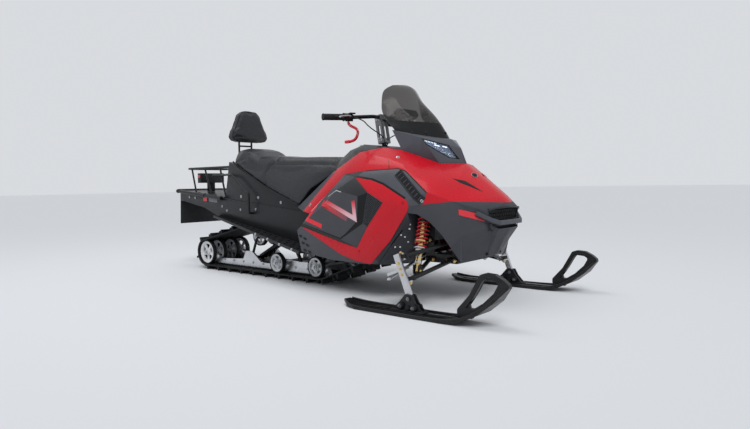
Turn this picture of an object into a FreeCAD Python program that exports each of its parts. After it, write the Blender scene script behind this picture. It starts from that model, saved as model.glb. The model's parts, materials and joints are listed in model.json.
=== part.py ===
import FreeCAD, Part
import math
import os
from types import SimpleNamespace
from FreeCAD import Placement, Rotation, Vector

# Snowmobile with a rear rack and backrest, in millimetres.
# +X is forward, +Y is to the left, +Z is up. The ground is at Z 0.
os.makedirs("parts", exist_ok=True)
doc = FreeCAD.newDocument("Snowmobile")
sheet = doc.addObject("Spreadsheet::Sheet", "Sizes")

# Driving dimensions. Columns: name, value, what it is.
SIZES = (
    ("track_width", 360, "width of the track"),
    ("belt_wall", 8, "thickness of the track belt"),
    ("lug_height", 28, "height of a lug above the belt"),
    ("lug_root", 22, "length of a lug at the belt"),
    ("lug_tip", 10, "length of a lug at its tip"),
    ("pitch_count", 56, "number of lug rows round the track"),
    ("rear_idler_x", -1164, "rear axle"),
    ("rear_idler_radius", 89, "rear wheel"),
    ("idler_radius", 67, "lower rail wheels"),
    ("mid_idler_x", -376, "middle axle"),
    ("front_idler_x", -10, "front axle"),
    ("roller_x", -660, "upper roller axle"),
    ("roller_z", 262, "upper roller axle above the ground"),
    ("roller_radius", 70, "upper roller"),
    ("sprocket_x", 400, "drive axle"),
    ("sprocket_z", 255, "drive axle above the ground"),
    ("sprocket_radius", 80, "radius where the belt runs on the sprockets"),
    ("bend_radius", 260, "front bend of the rails"),
    ("bend_x", 0, "start of the front bend"),
    ("wheel_width", 28, "idler wheel width"),
    ("wheel_y", 150, "middle of the outer wheels"),
    ("inner_wheel_y", 58, "middle of the inner rear wheels"),
    ("axle_radius", 10, "idler axles"),
    ("rail_y", 108, "middle of a slide rail"),
    ("rail_wall", 14, "slide rail thickness"),
    ("rail_height", 80, "slide rail height"),
    ("gap", 0.3, "clearance between neighbours"),
    ("tunnel_half", 200, "half width of the tunnel outside"),
    ("sheet_wall", 4, "sheet metal of the tunnel and boards"),
    ("tunnel_front_x", 540, "front wall of the tunnel"),
    ("tunnel_rear_x", -1440, "rear edge of the tunnel"),
    ("tunnel_front_z", 392, "tunnel roof at its front"),
    ("tunnel_rear_z", 584, "tunnel roof at its rear"),
    ("board_outer", 385, "outer edge of the foot space"),
    ("board_front_x", 425, "front end of the boards"),
    ("board_rear_x", -950, "rear end of the boards"),
    ("board_knee_x", 80, "where the boards start to rise"),
    ("board_knee_z", 221, "board height at its lowest"),
    ("board_rear_z", 403, "board height at the rear"),
    ("board_rim_radius", 9, "tube along the edge of a board"),
    ("skin_back", 2.5, "body panel wall, share along X"),
    ("skin_in", 3.5, "body panel wall, share along Y"),
    ("skin_down", 3.5, "body panel wall, share along Z"),
    ("frame_half", 190, "half width of the front frame"),
    ("frame_rear_x", 850, "rear of the front frame"),
    ("beam_y", 95, "middle of a beam under the engine"),
    ("frame_wall", 6, "front frame plates"),
    ("pan_z", 201, "underside of the belly pan"),
    ("engine_length", 240, "engine block"),
    ("engine_width", 380, "engine block"),
    ("engine_height", 300, "engine block"),
    ("engine_z", 300, "underside of the engine block"),
    ("kingpin_y", 465, "steering axis of a ski from the middle"),
    ("kingpin_top_x", 905, "upper ball joint"),
    ("kingpin_top_z", 262, "upper ball joint"),
    ("kingpin_low_x", 945, "lower ball joint"),
    ("kingpin_low_z", 160, "lower ball joint"),
    ("pin_radius", 8, "kingpin"),
    ("pin_play", 0.05, "running clearance of a kingpin"),
    ("eye_radius", 16, "eyes of the suspension arms"),
    ("eye_width", 18, "eyes of the suspension arms"),
    ("arm_radius", 11, "suspension arm tubes"),
    ("ski_y", 500, "middle of a ski"),
    ("ski_half", 70, "half width of a ski"),
    ("ski_wall", 10, "ski sole thickness"),
    ("ski_tail_x", 573, "rear end of a ski"),
    ("ski_tip_x", 1490, "front end of a ski"),
    ("ski_tip_z", 189, "height of the tip"),
    ("loop_width", 26, "width of the loop at the ski tip"),
    ("ski_bolt_z", 76, "height of the bolt that holds a ski"),
    ("shock_top_x", 905, "upper eye of a shock"),
    ("shock_top_z", 470, "upper eye of a shock"),
    ("shock_radius", 16, "shock body"),
    ("spring_radius", 30, "middle of the spring wire"),
    ("spring_wire", 5, "radius of the spring wire"),
    ("spring_turns", 6, "turns of the spring"),
    ("link_radius", 8, "tie rods"),
    ("link_x", 827, "steering link"),
    ("link_z", 236, "steering link above the ground"),
    ("link_drop", 23, "from a steering arm to its tie rod"),
    ("link_straight", 175, "half length of the level part of the steering link"),
    ("bar_radius", 11, "handlebar tube"),
    ("bar_half", 372, "half width over the grips"),
    ("grip_radius", 17, "grips"),
    ("grip_length", 125, "grips"),
    ("post_radius", 14, "steering post"),
    ("post_hole", 22, "opening round the post in the console"),
    ("shield_wall", 3, "windshield"),
    ("rack_tube", 8, "radius of the rack's rail"),
    ("rack_strut", 6.5, "radius of the rack's uprights and crossbar"),
    ("bumper_tube", 13, "radius of the rear bumper tube"),
    ("grab_tube", 8, "radius of the grab tubes"),
    ("rack_half", 170, "half width of the rack"),
    ("rack_z", 748, "top rail of the rack"),
    ("hitch_hole", 8, "radius of the tow pin hole"),
    ("hitch_wall", 10, "tow plate thickness"),
    ("tow_x", -1451.5, "middle of the tow pin hole"),
    ("bay_wall", 3.1, "sheet across the front of the engine bay"),
    ("loop_bend", 20, "largest rounding of a ski loop's corners"),
    ("lamp_depth", 26, "depth of a headlamp behind its lens"),
    ("coil_radius", 9, "outside radius of the coiled tether"),
)
for row, (name, value, meaning) in enumerate(SIZES, start=1):
    sheet.set(f"A{row}", meaning)
    sheet.set(f"B{row}", str(value))
    sheet.setAlias(f"B{row}", name)
doc.recompute()
d = SimpleNamespace(**{name: float(sheet.get(name)) for name, value, meaning in SIZES})

nodes = []


def keep(piece):
    """Takes a document object as a finished sub-part."""
    nodes.append(piece)
    return piece


def feature(label, shape):
    """A finished sub-part whose shape is made here from the sizes."""
    piece = doc.addObject("Part::Feature", label)
    piece.Shape = shape
    return keep(piece)


def plate(label, outline, length, plane="XZ_Plane", start=None):
    """A pad from a straight-sided outline. Its length is an expression on the sheet.
    It is centred on its plane, or grows from the height given as start."""
    body = doc.addObject("PartDesign::Body", label)
    sketch = body.newObject("Sketcher::SketchObject", label + "_outline")
    origin_plane = [f for f in body.Origin.OriginFeatures if f.Role == plane][0]
    sketch.AttachmentSupport = (origin_plane, [""])
    sketch.MapMode = "FlatFace"
    if start is not None:
        sketch.AttachmentOffset = Placement(Vector(0, 0, start), Rotation())
    for (u1, v1), (u2, v2) in zip(outline, outline[1:] + outline[:1]):
        sketch.addGeometry(Part.LineSegment(Vector(u1, v1, 0), Vector(u2, v2, 0)), False)
    pad = body.newObject("PartDesign::Pad", label + "_pad")
    pad.Profile = sketch
    pad.Midplane = start is None
    pad.setExpression("Length", length)
    return body


def cut(label, base, *tools):
    """The base less each tool in turn."""
    for number, tool in enumerate(tools):
        result = doc.addObject("Part::Cut", f"{label}_cut_{number}")
        result.Base = base
        result.Tool = tool
        base = result
    base.Label = label
    return base


def mirrored(shape):
    """The same shape on the other side of the middle."""
    return shape.mirror(Vector(0, 0, 0), Vector(0, 1, 0))


def both_sides(shape):
    """A shape and its mirror image, as two solids."""
    return Part.makeCompound([shape, mirrored(shape)])


def joined(*shapes):
    """One solid from shapes that meet."""
    result = shapes[0].multiFuse(list(shapes[1:]))
    return result.removeSplitter()


def largest(shape):
    """The main solid of a shape that a cut may have left in pieces."""
    main = max(shape.Solids, key=lambda solid: abs(solid.Volume))
    if main.Volume < 0:
        main.reverse()
    return main


def straight(start, end, radius):
    """A round bar from start to end."""
    return Part.makeCylinder(radius, (end - start).Length, start, end - start)


def tube(points, radius, bend, closed=False):
    """A round bar along straight runs with round bends."""
    count = len(points)
    corners = range(count) if closed else range(1, count - 1)
    starts = {}
    ends = {}
    arcs = {}
    for i in corners:
        before = points[i - 1] - points[i]
        after = points[(i + 1) % count] - points[i]
        before.normalize()
        after.normalize()
        half = before.getAngle(after) / 2
        reach = bend / math.tan(half)
        middle = before + after
        middle.normalize()
        centre = points[i] + middle * (bend / math.sin(half))
        starts[i] = points[i] + before * reach
        ends[i] = points[i] + after * reach
        arcs[i] = Part.Arc(starts[i], centre - middle * bend, ends[i])
    edges = []
    runs = range(count) if closed else range(count - 1)
    for i in runs:
        j = (i + 1) % count
        first = ends.get(i, points[i])
        last = starts.get(j, points[j])
        edges.append(Part.LineSegment(first, last).toShape())
        if j in arcs:
            edges.append(arcs[j].toShape())
    path = Part.Wire(edges)
    first = edges[0].valueAt(edges[0].FirstParameter)
    along = edges[0].tangentAt(edges[0].FirstParameter)
    ring = Part.Wire([Part.makeCircle(radius, first, along)])
    return path.makePipeShell([ring], True, False)


def rounded(points, bend):
    """A closed flat outline with an arc at each corner, at most as wide as bend."""
    spots = []
    count = len(points)
    for i, corner in enumerate(points):
        back = points[i - 1] - corner
        ahead = points[(i + 1) % count] - corner
        room = min(back.Length, ahead.Length) * 0.45
        back.normalize()
        ahead.normalize()
        half = back.getAngle(ahead) / 2
        reach = min(room, bend / math.tan(half))
        size = reach * math.tan(half)
        middle = back + ahead
        middle.normalize()
        centre = corner + middle * (size / math.sin(half))
        spots.append((corner + back * reach, centre - middle * size, corner + ahead * reach))
    edges = []
    for spot, following in zip(spots, spots[1:] + spots[:1]):
        edges.append(Part.Arc(*spot).toShape())
        edges.append(Part.LineSegment(spot[2], following[0]).toShape())
    return Part.Wire(edges)


def polyhedron(corners, facets):
    """A closed solid from named corners and facets that name them in order."""
    faces = []
    for names in facets:
        loop = [corners[name] for name in names]
        for i in range(1, len(loop) - 1):
            triangle = [loop[0], loop[i], loop[i + 1], loop[0]]
            faces.append(Part.Face(Part.makePolygon(triangle)))
    shell = Part.makeShell(faces)
    shell.sewShape()
    solid = Part.makeSolid(shell)
    if solid.Volume < 0:
        solid.reverse()
    return solid.removeSplitter()


def panel(corners, facets, wall):
    """A faceted body panel. Its outer skin is given, and wall leads to its inner skin."""
    outer = []
    for names in facets:
        for i in range(1, len(names) - 1):
            outer.append((names[0], names[i], names[i + 1]))
    sides = {}
    for names in outer:
        for first, last in zip(names, names[1:] + names[:1]):
            key = frozenset((first, last))
            if key in sides:
                del sides[key]
            else:
                sides[key] = (first, last)
    faces = []
    for names in outer:
        loop = [corners[name] for name in names]
        faces.append(Part.Face(Part.makePolygon(loop + loop[:1])))
        inner = [point + wall for point in loop]
        faces.append(Part.Face(Part.makePolygon(inner + inner[:1])))
    for first, last in sides.values():
        a = corners[first]
        b = corners[last]
        faces.append(Part.Face(Part.makePolygon([a, b, b + wall, a + wall, a])))
    shell = Part.makeShell(faces)
    shell.sewShape()
    solid = Part.makeSolid(shell)
    if solid.Volume < 0:
        solid.reverse()
    return solid.removeSplitter()


def inset_slab(points, inside, outside):
    """A flat slab set into a surface. It lies on the plane of its first three points."""
    normal = (points[1] - points[0]).cross(points[2] - points[0])
    normal.normalize()
    if normal.x < 0:
        normal = normal * -1
    flat = [point - normal * normal.dot(point - points[0]) for point in points]
    face = Part.Face(Part.makePolygon(flat + flat[:1]))
    face.translate(normal * -inside)
    return face.extrude(normal * (inside + outside))


# Lines of the machine that several pieces share.
def roof_z(x):
    """Height of the tunnel roof."""
    share = (x - d.tunnel_rear_x) / (d.tunnel_front_x - d.tunnel_rear_x)
    return d.tunnel_rear_z + share * (d.tunnel_front_z - d.tunnel_rear_z)


def board_z(x):
    """Height of the running board."""
    share = (d.board_knee_x - x) / (d.board_knee_x - d.board_rear_x)
    return d.board_knee_z + max(share, 0) * (d.board_rear_z - d.board_knee_z)


belt_floor = d.belt_wall + d.lug_height
rear_idler_z = belt_floor + d.rear_idler_radius
idler_z = belt_floor + d.idler_radius

# Body corners on the right side. Columns: name, x, distance from the middle, z.
CORNERS = (
    ("hood_rear", 464, 258, 788),
    ("apex", 586, 200, 811),
    ("pod_side", 701, 190, 790),
    ("pod_low", 796, 160, 755),
    ("pod_front", 881, 100, 716),
    ("pod_tip", 985, 0, 713),
    ("ridge_rear", 996, 40, 703),
    ("ridge_front", 1197, 40, 543),
    ("ridge_middle", 1200, 0, 545),
    ("nose", 1224, 50, 512),
    ("nose_middle", 1229, 0, 510),
    ("cheek", 1069, 272, 522),
    ("crease_rear", 682, 272, 741),
    ("crease_bend", 774, 282, 712),
    ("strip_top", 300, 272, 700),
    ("strip_corner", 400, 318, 668),
    ("strip_tail", 84, 340, 461),
    ("strip_foot", 163, 362, 450),
    ("vent_rear", 556, 325, 684),
    ("vent_top", 764, 303, 692),
    ("vent_bend", 812, 305, 677),
    ("vent_front", 960, 332, 568),
    ("vent_low", 938, 343, 508),
    ("vent_tip", 872, 366, 500),
    ("stripe_top", 509, 352, 650),
    ("stripe_b", 625, 352, 632),
    ("stripe_c", 702, 356, 608),
    ("stripe_d", 863, 368, 528),
    ("stripe_f", 771, 380, 332),
    ("stripe_foot", 634, 380, 198),
    ("stripe_h", 534, 383, 205),
    ("stripe_i", 423, 386, 236),
    ("stripe_tail", 107, 382, 376),
    ("stripe_k", 447, 390, 298),
    ("stripe_l", 548, 390, 278),
    ("mesh_low", 620, 388, 392),
    ("mesh_top", 717, 378, 518),
    ("hex_d", 615, 376, 569),
    ("hex_e", 588, 388, 410),
    ("hex_f", 438, 402, 319),
    ("hex_g", 119, 384, 387),
    ("raised_a", 303, 400, 493),
    ("raised_b", 412, 398, 582),
    ("raised_c", 570, 402, 549),
    ("raised_d", 569, 408, 422),
    ("guard_a", 79, 385, 353),
    ("guard_b", 105, 378, 232),
    ("guard_c", 346, 374, 200),
    ("guard_d", 495, 376, 196),
    ("wall_top", 862, 362, 474),
    ("wall_low", 690, 362, 196),
    ("bay_top", 866, 235, 474),
    ("bay_low", 800, 225, 198),
    ("arch_rear", 862, 360, 466),
    ("arch_a", 915, 354, 461),
    ("arch_b", 976, 335, 423),
    ("arch_c", 1030, 312, 361),
    ("arch_d", 1066, 290, 299),
    ("arch_e", 1084, 235, 228),
    ("cowl_side", 1104, 255, 352),
    ("cowl_nose", 1201, 122, 397),
    ("grille_top", 1196, 158, 470),
    ("chin", 1224, 100, 384),
    ("chin_middle", 1228, 0, 384),
    ("keel_side", 1078, 205, 216),
    ("keel_front", 1132, 60, 236),
    ("keel_middle", 1150, 0, 244),
    ("lip", 1216, 120, 482),
    ("lip_middle", 1226, 0, 486),
)
corners = {name: Vector(x, -half, z) for name, x, half, z in CORNERS}
skin = Vector(-d.skin_back, d.skin_in, -d.skin_down)


# Track: a belt round the rear idlers, the bend of the rails, the sprockets and the rollers.
PULLEYS = (
    (d.rear_idler_x, rear_idler_z, d.rear_idler_radius),
    (d.bend_x, belt_floor + d.bend_radius, d.bend_radius),
    (d.sprocket_x, d.sprocket_z, d.sprocket_radius),
    (d.roller_x, d.roller_z, d.roller_radius),
)


def belt_runs():
    """The runs of the belt as (kind, length, data), with arcs measured on the belt's outside."""
    count = len(PULLEYS)
    angles = []
    for i in range(count):
        x1, z1, r1 = PULLEYS[i]
        x2, z2, r2 = PULLEYS[(i + 1) % count]
        reach = math.hypot(x2 - x1, z2 - z1)
        angles.append(math.atan2(z2 - z1, x2 - x1) + math.asin((r1 - r2) / reach))
    runs = []
    for i in range(count):
        x, z, r = PULLEYS[i]
        turn = (angles[i] - angles[i - 1]) % (2 * math.pi)
        runs.append(("arc", (r + d.belt_wall) * turn, (x, z, r, angles[i - 1], turn)))
        x2, z2, r2 = PULLEYS[(i + 1) % count]
        out = (math.sin(angles[i]), -math.cos(angles[i]))
        start = (x + r * out[0], z + r * out[1])
        end = (x2 + r2 * out[0], z2 + r2 * out[1])
        length = math.hypot(end[0] - start[0], end[1] - start[1])
        runs.append(("line", length, (start, end, angles[i])))
    return runs


def belt_loop(runs, offset):
    """The closed outline of the belt at a distance outside the wheels."""
    edges = []
    for kind, length, data in runs:
        if kind == "arc":
            x, z, r, heading, turn = data
            points = []
            for share in (0, 0.5, 1):
                angle = heading + share * turn
                points.append(Vector(x + (r + offset) * math.sin(angle), 0,
                                     z - (r + offset) * math.cos(angle)))
            edges.append(Part.Arc(*points).toShape())
        else:
            start, end, heading = data
            out = Vector(math.sin(heading), 0, -math.cos(heading)) * offset
            first = Vector(start[0], 0, start[1]) + out
            last = Vector(end[0], 0, end[1]) + out
            edges.append(Part.LineSegment(first, last).toShape())
    return Part.Wire(Part.__sortEdges__(edges))


def belt_place(runs, distance):
    """A point on the wheel line of the belt and the heading there."""
    for kind, length, data in runs:
        if distance > length:
            distance -= length
            continue
        share = distance / length
        if kind == "arc":
            x, z, r, heading, turn = data
            angle = heading + share * turn
            return Vector(x + r * math.sin(angle), 0, z - r * math.cos(angle)), angle
        start, end, heading = data
        first = Vector(start[0], 0, start[1])
        last = Vector(end[0], 0, end[1])
        return first + (last - first) * share, heading
    return belt_place(runs, 0)


# Lugs across the track, as shares of its half width. Columns: even rows, odd rows.
LUG_ROWS = (
    ((-0.98, -0.52), (-0.24, 0.24), (0.52, 0.98)),
    ((-0.80, -0.34), (0.34, 0.80)),
)


def make_track():
    runs = belt_runs()
    half = d.track_width / 2
    face = Part.Face(belt_loop(runs, d.belt_wall)).cut(Part.Face(belt_loop(runs, 0)))
    belt = face.extrude(Vector(0, d.track_width, 0))
    belt.translate(Vector(0, -half, 0))
    total = sum(length for kind, length, data in runs)
    count = int(round(d.pitch_count))
    root_depth = d.belt_wall / 4
    lugs = []
    for row in range(count):
        point, heading = belt_place(runs, total * (row + 0.5) / count)
        along = Vector(math.cos(heading), 0, math.sin(heading))
        out = Vector(math.sin(heading), 0, -math.cos(heading))
        low = point + out * (d.belt_wall - root_depth)
        high = point + out * belt_floor
        outline = [
            low - along * (d.lug_root / 2),
            low + along * (d.lug_root / 2),
            high + along * (d.lug_tip / 2),
            high - along * (d.lug_tip / 2),
        ]
        face = Part.Face(Part.makePolygon(outline + outline[:1]))
        for first, last in LUG_ROWS[row % 2]:
            lug = face.extrude(Vector(0, (last - first) * half, 0))
            lug.translate(Vector(0, first * half, 0))
            lugs.append(lug)
    return feature("track", belt.multiFuse(lugs))


make_track()


# Slide rails with the seats of their axles.
def make_rails():
    low = belt_floor + d.gap
    top = low + d.rail_height
    rear = d.rear_idler_x - 30
    boss = rear_idler_z + 24
    turn = math.radians(18)
    inner = d.bend_radius - d.gap
    centre = Vector(d.bend_x, 0, low + inner)

    def on_bend(radius, angle):
        return centre + Vector(radius * math.sin(angle), 0, -radius * math.cos(angle))

    foot = on_bend(inner, turn)
    shoulder = on_bend(inner - d.rail_height * 0.55, turn)
    edges = [
        Part.LineSegment(Vector(rear, 0, boss - 30), Vector(rear + 22, 0, low)),
        Part.LineSegment(Vector(rear + 22, 0, low), Vector(d.bend_x, 0, low)),
        Part.Arc(Vector(d.bend_x, 0, low), on_bend(inner, turn / 2), foot),
        Part.LineSegment(foot, shoulder),
        Part.LineSegment(shoulder, Vector(d.bend_x - 40, 0, top)),
    ]
    # Upper edge from the front to the rear. Columns: x, height above the rail's foot.
    upper = (
        (-330, 80), (-520, 46), (-600, 52), (-690, 118), (-760, 118), (-790, 60),
        (-1040, 46), (-1110, 80),
    )
    points = [Vector(d.bend_x - 40, 0, top)]
    points += [Vector(x, 0, low + height) for x, height in upper]
    points += [Vector(rear + 24, 0, boss), Vector(rear, 0, boss), Vector(rear, 0, boss - 30)]
    edges += [Part.LineSegment(a, b) for a, b in zip(points, points[1:])]
    face = Part.Face(Part.Wire([edge.toShape() for edge in edges]))
    rail = face.extrude(Vector(0, d.rail_wall, 0))
    rail.translate(Vector(0, d.rail_y - d.rail_wall / 2, 0))
    for x, z in ((d.rear_idler_x, rear_idler_z), (d.mid_idler_x, idler_z),
                 (d.front_idler_x, idler_z)):
        hole = Part.makeCylinder(d.axle_radius + d.gap, d.rail_wall * 3,
                                 Vector(x, d.rail_y - d.rail_wall * 1.5, z), Vector(0, 1, 0))
        rail = rail.cut(hole)
    return feature("slide_rails", both_sides(rail))


make_rails()


# Wheels. Columns: axle x, axle z, radius, places across.
def wheel(radius, middle):
    """A rubber-tyred wheel with five windows between its spokes."""
    width = d.wheel_width
    rim = radius * 0.72
    hub = d.axle_radius + 14
    web = width * 0.3
    # Half section. Columns: radius, half width.
    section = ((0, width / 2), (hub, width / 2), (hub, web / 2), (rim, web / 2),
               (rim, width * 0.36), (radius - 6, width / 2), (radius, width * 0.34))
    outline = [Vector(half, 0, r) for r, half in section]
    outline += [Vector(-half, 0, r) for r, half in reversed(section)]
    face = Part.Face(Part.makePolygon(outline + outline[:1]))
    solid = face.revolve(Vector(0, 0, 0), Vector(1, 0, 0), 360)
    inside = hub + 4
    outside = rim - 4
    for number in range(5):
        window = Part.makePolygon([
            Vector(-width, -inside * 0.32, inside), Vector(-width, inside * 0.32, inside),
            Vector(-width, outside * 0.42, outside * 0.9), Vector(-width, 0, outside),
            Vector(-width, -outside * 0.42, outside * 0.9), Vector(-width, -inside * 0.32, inside),
        ])
        tool = Part.Face(window).extrude(Vector(width * 2, 0, 0))
        tool.rotate(Vector(0, 0, 0), Vector(1, 0, 0), number * 72)
        solid = solid.cut(tool)
    solid.rotate(Vector(0, 0, 0), Vector(0, 0, 1), 90)
    solid.translate(Vector(0, middle, 0))
    return solid


AXLES = (
    (d.rear_idler_x, rear_idler_z, d.rear_idler_radius, (d.wheel_y, d.inner_wheel_y)),
    (d.mid_idler_x, idler_z, d.idler_radius, (d.wheel_y,)),
    (d.front_idler_x, idler_z, d.idler_radius, (d.wheel_y,)),
    (d.roller_x, d.roller_z, d.roller_radius, (d.inner_wheel_y,)),
)
sets = []
for x, z, radius, places in AXLES:
    reach = places[0] + d.wheel_width / 2 + 6
    if x == d.roller_x:
        reach = 104
    axle = Part.makeCylinder(d.axle_radius, reach * 2, Vector(0, -reach, 0), Vector(0, 1, 0))
    wheels = [wheel(radius - d.gap, sign * place) for place in places for sign in (-1, 1)]
    assembly = joined(axle, *wheels)
    assembly.translate(Vector(x, 0, z))
    sets.append(assembly)
feature("idler_wheels", Part.makeCompound(sets))

# Drive axle with two sprockets, held in the sides of the tunnel.
inside_half = d.tunnel_half - d.sheet_wall
shaft = Part.makeCylinder(15, inside_half * 2, Vector(d.sprocket_x, -inside_half, d.sprocket_z),
                          Vector(0, 1, 0))
discs = []
for middle in (-70, 70):
    discs.append(Part.makeCylinder(d.sprocket_radius - d.gap, 20,
                                   Vector(d.sprocket_x, middle - 10, d.sprocket_z),
                                   Vector(0, 1, 0)))
feature("drive_axle", joined(shaft, *discs))

# Rear suspension: cross shafts on the tunnel and the rails, with arms and shocks between.
SHAFTS = {
    "front_top": (190, 292, 10, inside_half - d.gap),
    "front_low": (-95, 84, 9, d.rail_y - d.rail_wall / 2 - d.gap),
    "middle_low": (-205, 86, 9, d.rail_y - d.rail_wall / 2 - d.gap),
    "rear_top": (-330, 305, 10, inside_half - d.gap),
    "rear_low": (-725, 106, 9, d.rail_y - d.rail_wall / 2 - d.gap),
}
# Columns: from, to, distance from the middle, radius.
ARM_TUBES = (
    ("front_top", "front_low", 84, 12), ("front_top", "middle_low", 0, 20),
    ("rear_top", "middle_low", 84, 12), ("rear_top", "rear_low", 0, 20),
    ("rear_top", "roller", 88, 9), ("roller", "rear_low", 88, 9),
)


def make_rear_arms():
    places = {name: Vector(row[0], 0, row[1]) for name, row in SHAFTS.items()}
    places["roller"] = Vector(d.roller_x, 0, d.roller_z)
    parts = []
    for name, (x, z, radius, reach) in SHAFTS.items():
        parts.append(Part.makeCylinder(radius, reach * 2, Vector(x, -reach, z), Vector(0, 1, 0)))
    for first, last, across, radius in ARM_TUBES:
        for side in {-across, across}:
            shift = Vector(0, side, 0)
            parts.append(straight(places[first] + shift, places[last] + shift, radius))
            if "roller" in (first, last):
                parts.append(Part.makeCylinder(20, 16, places["roller"] + Vector(0, side - 8, 0),
                                               Vector(0, 1, 0)))
    bore = Part.makeCylinder(d.axle_radius + d.gap, 300, places["roller"] - Vector(0, 150, 0),
                             Vector(0, 1, 0))
    return joined(*parts).cut(bore)


feature("rear_arms", largest(make_rear_arms()))

# Tunnel: roof and sides of one sheet, open below and behind.
tunnel_low = d.pan_z + d.sheet_wall + d.gap
lower_edge = [
    (d.tunnel_front_x, tunnel_low), (d.board_front_x - 120, tunnel_low),
    (d.board_knee_x, board_z(d.board_knee_x) - 6), (d.board_rear_x, board_z(d.board_rear_x) - 6),
    (-1125, 458), (-1389, 503), (d.tunnel_rear_x, 506),
]
outer_line = [(d.tunnel_rear_x, d.tunnel_rear_z), (d.tunnel_front_x, d.tunnel_front_z)]
tunnel_body = plate("tunnel_outside", outer_line + lower_edge, "Sizes.tunnel_half * 2")
inner_line = [
    (d.tunnel_rear_x - 100, roof_z(d.tunnel_rear_x - 100) - d.sheet_wall),
    (d.tunnel_front_x - d.sheet_wall, roof_z(d.tunnel_front_x - d.sheet_wall) - d.sheet_wall),
    (d.tunnel_front_x - d.sheet_wall, 100),
    (d.tunnel_rear_x - 100, 100),
]
tunnel_space = plate("tunnel_inside", inner_line, "(Sizes.tunnel_half - Sizes.sheet_wall) * 2")
keep(cut("tunnel", tunnel_body, tunnel_space))


# Running boards with a tube along the outer edge.
def make_boards():
    # Columns: x, outer edge.
    stations = ((d.board_front_x, d.board_outer - 19), (d.board_knee_x, d.board_outer - 15),
                (d.board_rear_x, d.tunnel_half + 35))
    points = {}
    for number, (x, outer) in enumerate(stations):
        points[f"in{number}"] = Vector(x, -d.tunnel_half, board_z(x))
        points[f"out{number}"] = Vector(x, -outer, board_z(x))
    deck = panel(points, (("in0", "out0", "out1", "in1"), ("in1", "out1", "out2", "in2")),
                 Vector(0, 0, -d.sheet_wall))
    first = points["out1"] - Vector(0, 0, d.sheet_wall / 2)
    last = points["out2"] - Vector(0, 0, d.sheet_wall / 2)
    rim = Part.makeCylinder(d.board_rim_radius, (last - first).Length, first, last - first)
    board = joined(deck, rim)
    return feature("running_boards", both_sides(board))


make_boards()


# Body panels of the right side, and their mirror images.
HOOD = (
    ("strip_top", "hood_rear", "strip_corner"), ("hood_rear", "vent_rear", "strip_corner"),
    ("strip_top", "strip_corner", "strip_foot"), ("strip_top", "strip_foot", "strip_tail"),
    ("hood_rear", "crease_rear", "vent_top", "vent_rear"),
    ("crease_rear", "crease_bend", "vent_bend", "vent_top"),
    ("crease_bend", "vent_front", "vent_bend"),
    ("hood_rear", "apex", "crease_rear"), ("apex", "pod_side", "crease_rear"),
    ("pod_side", "pod_low", "crease_rear"), ("pod_low", "crease_bend", "crease_rear"),
    ("pod_low", "pod_front", "crease_bend"), ("pod_front", "vent_front", "crease_bend"),
    ("pod_front", "cheek", "vent_front"), ("vent_front", "cheek", "vent_low"),
    ("pod_front", "ridge_rear", "cheek"), ("ridge_rear", "ridge_front", "cheek"),
    ("ridge_front", "nose", "cheek"),
    ("pod_front", "pod_tip", "ridge_rear"), ("pod_tip", "ridge_middle", "ridge_front", "ridge_rear"),
    ("ridge_middle", "nose_middle", "nose", "ridge_front"),
)
right_half = Part.makeBox(4000, 2000, 2000, Vector(-2000, -2000, 0))
hood_half = panel(corners, HOOD, skin).common(right_half)
hood = joined(hood_half, mirrored(hood_half))
feature("hood", hood)

VENT_BAND = (
    ("stripe_top", "vent_rear", "vent_top", "stripe_b"), ("vent_top", "vent_bend", "stripe_c"),
    ("stripe_b", "vent_top", "stripe_c"), ("vent_bend", "vent_front", "stripe_d"),
    ("stripe_c", "vent_bend", "stripe_d"), ("vent_front", "vent_low", "vent_tip"),
    ("vent_front", "vent_tip", "stripe_d"),
)
SIDE_STRIPE = (
    ("stripe_top", "stripe_b", "hex_d"), ("stripe_b", "stripe_c", "hex_d"),
    ("stripe_c", "mesh_top", "hex_d"), ("stripe_c", "stripe_d", "mesh_top"),
    ("stripe_d", "wall_top", "mesh_top"), ("wall_top", "stripe_f", "mesh_top"),
    ("mesh_top", "stripe_f", "mesh_low"), ("stripe_f", "stripe_foot", "mesh_low"),
    ("mesh_low", "stripe_foot", "stripe_l"), ("stripe_foot", "stripe_h", "stripe_l"),
    ("stripe_h", "stripe_i", "stripe_l"), ("stripe_i", "stripe_k", "stripe_l"),
    ("stripe_i", "stripe_tail", "stripe_k"), ("stripe_d", "vent_tip", "wall_top"),
)
SIDE_MESH = (("hex_d", "mesh_top", "mesh_low", "hex_e"),)
SIDE_PANEL = (
    ("strip_foot", "strip_corner", "raised_a"), ("strip_foot", "raised_a", "hex_g"),
    ("strip_corner", "raised_b", "raised_a"), ("strip_corner", "stripe_top", "raised_b"),
    ("strip_corner", "vent_rear", "stripe_top"), ("stripe_top", "raised_c", "raised_b"),
    ("stripe_top", "hex_d", "raised_c"), ("hex_d", "hex_e", "raised_c"),
    ("hex_e", "raised_d", "raised_c"), ("hex_e", "hex_f", "raised_d"),
    ("raised_a", "raised_b", "raised_c"), ("raised_a", "raised_c", "raised_d"),
    ("raised_a", "raised_d", "hex_f"), ("raised_a", "hex_f", "hex_g"),
    ("hex_g", "hex_f", "stripe_k"), ("hex_g", "stripe_k", "stripe_tail"),
    ("hex_f", "hex_e", "mesh_low"), ("hex_f", "mesh_low", "stripe_l"),
    ("hex_f", "stripe_l", "stripe_k"),
)
FOOT_GUARD = (
    ("guard_a", "guard_b", "stripe_tail"), ("guard_b", "guard_c", "stripe_tail"),
    ("guard_c", "stripe_i", "stripe_tail"), ("guard_c", "guard_d", "stripe_i"),
    ("guard_d", "stripe_h", "stripe_i"), ("guard_d", "stripe_foot", "stripe_h"),
)
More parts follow.
